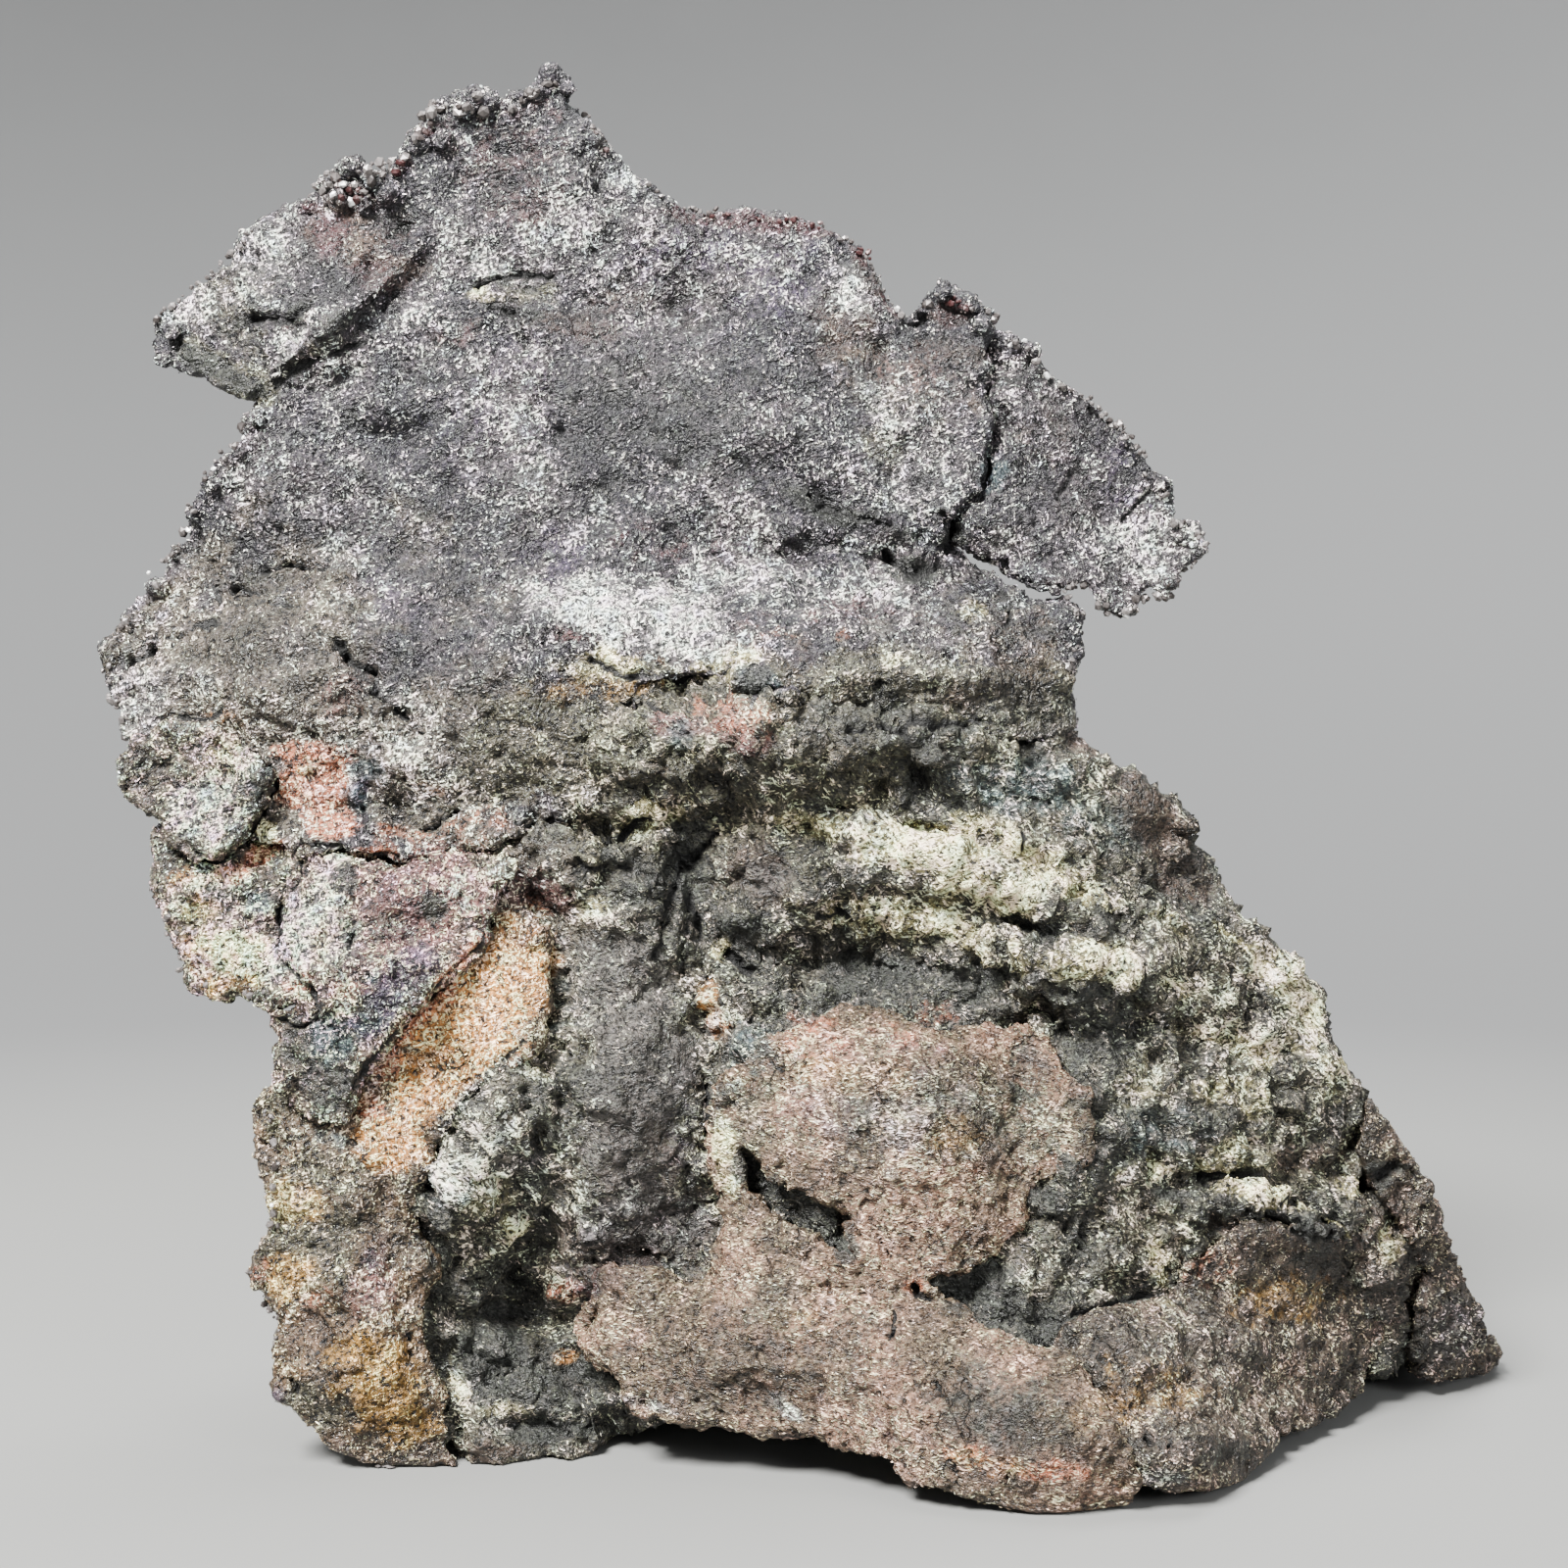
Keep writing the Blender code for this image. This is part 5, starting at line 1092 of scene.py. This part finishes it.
greySilver = {
    "gap": (0.005, 0.005, 0.0055), "body": (0.0120, 0.0108, 0.0145), "bodyWarm": (0.0120, 0.0094, 0.0104),
    # the near black colour on the next line is painted shade for cracks, seams and hollows
    "fleckAndGlint": (0.88, 0.87, 0.90), "fleckAndGlintWarm": (0.78, 0.75, 0.74), "paintedShade": (0.003, 0.003, 0.0027),
    "flecks": -0.17, "clumps": 0.74, "fullest": 1.78, "gaps": 0.96, "dim": 0.052, "stroke": 0.00044,
    "stretch": 2.3, "lie": (60.0, 40.0), "rainbow": 0.26, "roughness": 0.34, "metal": 0.40,
    "cell": 0.0040, "bump": 0.00052, "dull": 0.30,
}
beigeSilver = dict(greySilver, body=(0.026, 0.021, 0.016), bodyWarm=(0.026, 0.017, 0.012),
                   fleckAndGlint=(0.90, 0.85, 0.76), fleckAndGlintWarm=(0.84, 0.74, 0.60), flecks=0.20, dull=0.25, rainbow=0.5)
goldSilver = dict(greySilver, body=(0.040, 0.028, 0.019), bodyWarm=(0.044, 0.026, 0.013),
                  fleckAndGlint=(0.82, 0.74, 0.58), fleckAndGlintWarm=(0.80, 0.66, 0.42), flecks=-0.05, dull=0.35,
                  rainbow=0.25, fullest=1.45)
brownSilver = dict(greySilver, gap=(0.010, 0.0065, 0.004), body=(0.056, 0.038, 0.024),
                   bodyWarm=(0.070, 0.038, 0.024), fleckAndGlint=(0.80, 0.70, 0.50), fleckAndGlintWarm=(0.84, 0.60, 0.44),
                   clumps=0.7, flecks=-0.08, gaps=0.7, dim=0.13, metal=0.35, roughness=0.4, dull=0.4,
                   lie=(-4.0, 16.0), stroke=0.00036, stretch=3.0, rainbow=0.3)
darkSilver = dict(greySilver, gap=(0.006, 0.0045, 0.0035), body=(0.026, 0.020, 0.015),
                  bodyWarm=(0.030, 0.020, 0.014), fleckAndGlint=(0.66, 0.58, 0.48), fleckAndGlintWarm=(0.72, 0.56, 0.40),
                  flecks=-0.10, metal=0.35, roughness=0.4, dull=0.6, lie=(-10.0, 30.0), rainbow=0.3)
darkRock = dict(greySilver, gap=(0.004, 0.004, 0.0033), body=(0.018, 0.0185, 0.015),
                bodyWarm=(0.019, 0.0165, 0.011), fleckAndGlint=(0.84, 0.86, 0.72), fleckAndGlintWarm=(0.80, 0.72, 0.54),
                clumps=1.0, flecks=-0.46, dim=0.10, stroke=0.00044, fullest=2.3, stretch=2.8,
                lie=(-18.0, 30.0), metal=0.3, roughness=0.44, dull=0.55)

# what every piece starts from: heights of its relief and sizes of its crystals in metres
coat = {"ragged": 0.0013, "lumps": 0.0008, "scales": 0.0006, "scaleSize": 0.0046, "ridges": 0.0004,
        "grain": 0.00022, "blades": 2.0, "clump": 0.0, "clumpSize": 0.006, "bladeLength": 0.00054,
        "bladeWidth": 0.00018, "lie": (60.0, 90.0), "most": 40000, "mostBlades": 5000}
pieces = {
    "main_sheet": dict(coat, newName="mattedSheet", voxel=0.00047, seed=1, finish=greySilver,
                       slot="grey_silver", ragged=0.0007, most=160000, mostBlades=18000),
    "right_wing": dict(coat, newName="tornWing", voxel=0.00036, seed=2, finish=greySilver,
                       slot="grey_silver_wing", ragged=0.0004, lumps=0.0004, scales=0.0003, ridges=0.0002),
    "left_curl": dict(coat, newName="curledLeaf", voxel=0.00034, seed=3, finish=beigeSilver,
                      slot="pale_silver_curl", lumps=0.0006),
    "outer_left_leaf": dict(coat, newName="outerLeftLeaf", voxel=0.00036, seed=4, finish=beigeSilver,
                            slot="pale_silver_outer"),
    "left_leaf": dict(coat, newName="pinkLeaf", voxel=0.00036, seed=5, finish=beigeSilver, slot="pink_silver"),
    "lower_left_leaf": dict(coat, newName="goldenLeaf", voxel=0.00040, seed=6, finish=goldSilver,
                            slot="gold_silver", lumps=0.0008),
    "brown_leaf": dict(coat, newName="brownLeaf", most=66000, mostBlades=8000, voxel=0.00042, seed=7,
                       finish=brownSilver, slot="brown_silver", lumps=0.0007, scales=0.0005, scaleSize=0.004,
                       bladeLength=0.0007, bladeWidth=0.00016, lie=(-6.0, 30.0)),
    "lower_right_leaf": dict(coat, newName="lowerRightLeaf", voxel=0.00042, seed=8, finish=darkSilver,
                             slot="dark_silver", lumps=0.0009, blades=1.4, bladeWidth=0.00017,
                             lie=(-10.0, 45.0)),
    "right_toe": dict(coat, newName="rightToe", voxel=0.00042, seed=9, finish=darkSilver,
                      slot="dark_silver_toe", lumps=0.0010, scales=0.0009, blades=0.6),
    "matrix": dict(coat, newName="rock", voxel=0.00062, seed=10, finish=darkRock, slot="rock",
                   ragged=0.0, most=170000, mostBlades=13000,
                   lumps=0.0017, scales=0.0016, scaleSize=0.0066, ridges=0.0009, grain=0.00030,
                   blades=1.0, clump=0.12, clumpSize=0.0045, bladeLength=0.0006, bladeWidth=0.00022),
}

bladeMesh = bladeTemplate()
knobMesh = knobTemplate()
dressed = {}
for name, look in pieces.items():
    piece, masks, ahead = dress(name, look)
    piece.data.materials.append(crystalFinish(look["newName"] + "Finish", look["finish"]))
    grown = growBlades(piece, masks, ahead, look)
    grown.data.materials.append(bladeFinish(look["newName"] + "BladeFinish", look["finish"]))
    dressed[name] = (piece, masks)
print("stage: leaves and rock dressed")

# knobs and small crystals along the free edges: points, how many a millimetre, size, spread
edges = {
    "main_sheet": [
        ([(-67, 136.5), (-69, 132), (-71, 129), (-74, 126), (-76, 120), (-77, 117), (-80, 115),
          (-80, 112)], 1.5, 1.1, 0.8),
        ([(-80, 112), (-83, 109), (-86, 105), (-86, 101), (-85, 96), (-83, 92), (-84, 89), (-84, 86),
          (-81, 82)], 1.3, 1.0, 0.7),
        ([(-47.5, 170), (-46, 171), (-44, 174), (-42, 173), (-39, 175), (-37.5, 173.4)], 4.0, 1.5, 1.3),
        ([(-60, 163), (-58, 164), (-55, 163.6), (-52.6, 165), (-50, 166), (-47.4, 168)], 3.5, 1.4, 1.6),
        ([(-60, 161.6), (-56, 162.4), (-52, 162.6)], 2.5, 1.2, 1.5),
        ([(-35, 173.4), (-31.6, 175.6), (-30, 177), (-28.4, 176)], 3.0, 1.1, 0.9),
        ([(-26, 173), (-24, 170.6), (-22.4, 168)], 2.0, 0.9, 0.5),
        ([(-18, 164), (-14, 160.6), (-8, 160), (-4, 159.2), (2, 159.4), (7, 157)], 2.4, 0.8, 0.5),
        ([(7, 157), (10.4, 154.8), (12.6, 151), (13.6, 148), (16, 146.6)], 2.0, 0.8, 0.5),
        ([(18, 147.6), (20, 149.4), (22, 149), (25, 148), (27.6, 146)], 2.6, 1.2, 0.8),
        ([(36.6, 112), (37.6, 109), (37.4, 105), (36, 102)], 1.6, 1.0, 0.6),
        ([(-66, 159), (-70, 155), (-75, 150.6), (-80, 147)], 1.6, 0.9, 0.6),
    ],
    "right_wing": [
        ([(28, 144.4), (30, 143.8), (32, 142.6), (32, 141)], 3.0, 1.1, 0.7),
        ([(33, 139.4), (36, 137.4), (39, 136), (43, 132.6), (46, 129.4)], 2.6, 1.0, 0.6),
        ([(46, 127.6), (48, 126), (49, 122.6), (49.4, 120.4), (52, 120.6), (54, 117.6)], 2.4, 1.0, 0.6),
        ([(53, 116.8), (50.6, 115.2), (49.6, 113), (48.6, 111), (47.6, 112.4)], 3.0, 1.2, 0.8),
        ([(46, 112), (44.6, 110), (43.4, 109), (41.4, 109.8), (39.6, 111)], 3.0, 1.1, 0.8),
        ([(39, 112.4), (37, 113), (35.6, 112)], 1.8, 0.9, 0.5),
    ],
    "outer_left_leaf": [
        ([(-80, 79), (-79, 72), (-77, 66), (-76, 62.6), (-72, 61.4), (-68, 60.4), (-64, 61)], 1.3, 0.9, 0.6),
    ],
    "lower_left_leaf": [
        ([(-66, 47), (-65, 42), (-65, 36), (-64.6, 31)], 1.4, 1.0, 0.7),
        ([(-66, 29), (-68, 26), (-66, 22), (-64, 18), (-65, 14.6)], 1.4, 1.0, 0.7),
        ([(-60, 6), (-54, 2), (-48, -0.4)], 0.8, 0.9, 0.5),
    ],
}

knobPaint = knobFinish("knobFinish")
# how the knobs sit: lengths in metres
knobHabit = {"size": 0.00085, "least": 0.0001, "most": 0.0004, "shift": 0.0009, "lean": 0.8,
             "sizes": (0.5, 1.0), "sides": (0.65, 0.7)}


def growEdges(name):
    piece, masks = dressed[name]
    look = pieces[name]
    points, normals = vertexPlaces(piece), vertexNormals(piece)
    places = sightPlaces(points)
    random = np.random.default_rng(look["seed"] + 500)
    picked, spreads, scales = [], [], []
    for line, crowd, size, spread in edges[name]:
        for start, end in zip(line, line[1:]):
            number = max(1, int(math.dist(start, end) * crowd))
            for share in random.random(number):
                spot = np.array(start) + (np.array(end) - start) * share + (random.random(2) - 0.5) * spread
                picked.append(int(np.argmin(np.hypot(*(places - spot).T))))
                spreads.append(spread)
                scales.append(size)
    picked = np.array(picked)
    number = len(picked)
    outward = normals[picked]
    height = knobHabit["least"] + knobHabit["most"] * random.random(number)
    spots = points[picked] + outward * height[:, None]
    spots += (random.random((number, 3)) - 0.5) * knobHabit["shift"] * np.array(spreads)[:, None]
    turn = random.normal(size=(number, 3))
    up = outward + knobHabit["lean"] * random.normal(size=(number, 3))
    axes = axesFor(unitLong(up), turn)
    base = knobHabit["size"] * np.array(scales) * partly(knobHabit["sizes"], random.random(number))
    sizes = base[:, None] * partly(knobHabit["sides"], random.random((number, 3)))
    own = {mask: masks[mask][picked] for mask in stainsAndPaintedLight}
    own["shine"] = random.random(number)
    knobs = scatter(look["newName"] + "Knobs", knobMesh, spots, axes, sizes, own)
    knobs.data.materials.append(knobPaint)


for name in edges:
    growEdges(name)
print("stage: edges grown")

stageSizes = {
    "floorRadius": 0.42, "wallRadius": 1.15, "wallTop": 0.85, "steps": 96, "drop": 0.0002, "rings": 14,
    "ringTurn": 6.0, "floorShade": (0.128, 0.130, 0.125), "wallShade": (0.100, 0.102, 0.103),
    "paintedShadeHigh": (0.050, 0.051, 0.052), "cloudShade": (0.11, 0.11, 0.107), "cloud": 0.10,
    "floorEnd": (0.16, 0.42), "wallEnd": (0.12, 0.62), "roughness": 0.75, "flattened": (0.8, 1.0, 1.0),
    "cloudSize": 0.05,
}


def paleSweep():
    # a round floor that rises into a wall all round, so that no edge shows from any side
    size = stageSizes
    deselectAll()
    bpy.ops.mesh.primitive_circle_add(vertices=size["steps"], radius=size["floorRadius"], fill_type="NGON",
                                      location=(0.0, 0.0, -size["drop"]))
    sweep = bpy.context.object
    sweep.name = "paleFloor"
    bpy.ops.object.mode_set(mode="EDIT")
    bpy.ops.mesh.select_mode(type="EDGE")
    bpy.ops.mesh.select_all(action="DESELECT")
    bpy.ops.mesh.select_non_manifold()
    bend = size["wallRadius"] - size["floorRadius"]
    radius, height = size["floorRadius"], 0.0
    for step in range(1, size["rings"] + 1):
        turn = math.radians(size["ringTurn"] * step)
        nextRadius = size["floorRadius"] + bend * math.sin(turn)
        nextHeight = size["wallTop"] * (1.0 - math.cos(turn))
        bpy.ops.mesh.extrude_edges_move(TRANSFORM_OT_translate={"value": (0.0, 0.0, 0.0)})
        grow = nextRadius / radius
        bpy.ops.transform.resize(value=(grow, grow, 1.0), center_override=(0.0, 0.0, 0.0))
        bpy.ops.transform.translate(value=(0.0, 0.0, nextHeight - height))
        radius, height = nextRadius, nextHeight
    bpy.ops.mesh.select_all(action="SELECT")
    bpy.ops.mesh.normals_make_consistent(inside=False)
    bpy.ops.object.mode_set(mode="OBJECT")
    bpy.ops.object.shade_smooth()
    return sweep


def floorFinish(name):
    # one pale shade on the floor, another on the wall, with painted shade that darkens the wall higher up, and
    # a faint cloud in it
    size = stageSizes
    paint = Paint(name)
    flat = paint.vector("MULTIPLY", paint.coordinates, size["flattened"])
    away = paint.vector("LENGTH", flat, None, "Value")
    cloud = paint.noise(size["cloudSize"], 4.0, 0.6)
    tone = paint.mixed(paint.fit(away, *size["floorEnd"]), size["floorShade"], size["wallShade"])
    high = paint.node("ShaderNodeSeparateXYZ", {}, {0: paint.coordinates}, "Z")
    # painted shade: the wall turns darker towards the top
    tone = paint.mixed(paint.fit(high, *size["wallEnd"]), tone, size["paintedShadeHigh"])
    return paint.finished(paint.mixed(cloud * size["cloud"], tone, size["cloudShade"]), size["roughness"])


floor = paleSweep()
floor.data.materials.append(floorFinish("paleFloorFinish"))

# area lamps: place, what they aim at, width in metres, watts and shade; and the room's own light
lamps = {
    "keyLamp": ((-0.38, -0.60, 0.80), (0.0, 0.0, 0.09), 0.34, 92.0, (1.0, 0.99, 0.975)),
    "fillLamp": ((0.62, -0.75, 0.40), (0.0, 0.0, 0.09), 0.55, 14.0, (0.97, 0.985, 1.0)),
    "topLamp": ((0.05, 0.10, 0.98), (0.0, 0.0, 0.08), 0.45, 13.0, (1.0, 1.0, 1.0)),
    "backdropLamp": ((0.45, 0.40, 0.95), (0.42, 1.10, 0.30), 0.40, 13.0, (1.0, 1.0, 1.0)),
}
roomLight = {"shade": (0.98, 0.99, 1.0, 1.0), "strength": 0.52}


def softLamp(name, place, aim, size, power, shade):
    bpy.ops.object.light_add(type="AREA", location=place)
    lamp = bpy.context.object
    lamp.name = name
    lamp.data.shape = "DISK"
    lamp.data.size = size
    lamp.data.energy = power
    lamp.data.color = shade
    lamp.rotation_euler = (Vector(aim) - Vector(place)).to_track_quat("-Z", "Y").to_euler()


for name, settings in lamps.items():
    softLamp(name, *settings)

world = bpy.data.worlds.new("studio")
bpy.context.scene.world = world
world.use_nodes = True
background = world.node_tree.nodes["Background"]
background.inputs["Color"].default_value = roomLight["shade"]
background.inputs["Strength"].default_value = roomLight["strength"]

bpy.ops.object.camera_add(location=standpoint["eye"], rotation=(math.radians(90.0), 0.0, 0.0))
camera = bpy.context.object
camera.data.lens = standpoint["lens"]
camera.data.sensor_width = standpoint["sensor"]
camera.data.shift_y = standpoint["shiftY"]
camera.data.clip_start = 0.01
bpy.context.scene.camera = camera
print("stage: floor, lamps and camera set")
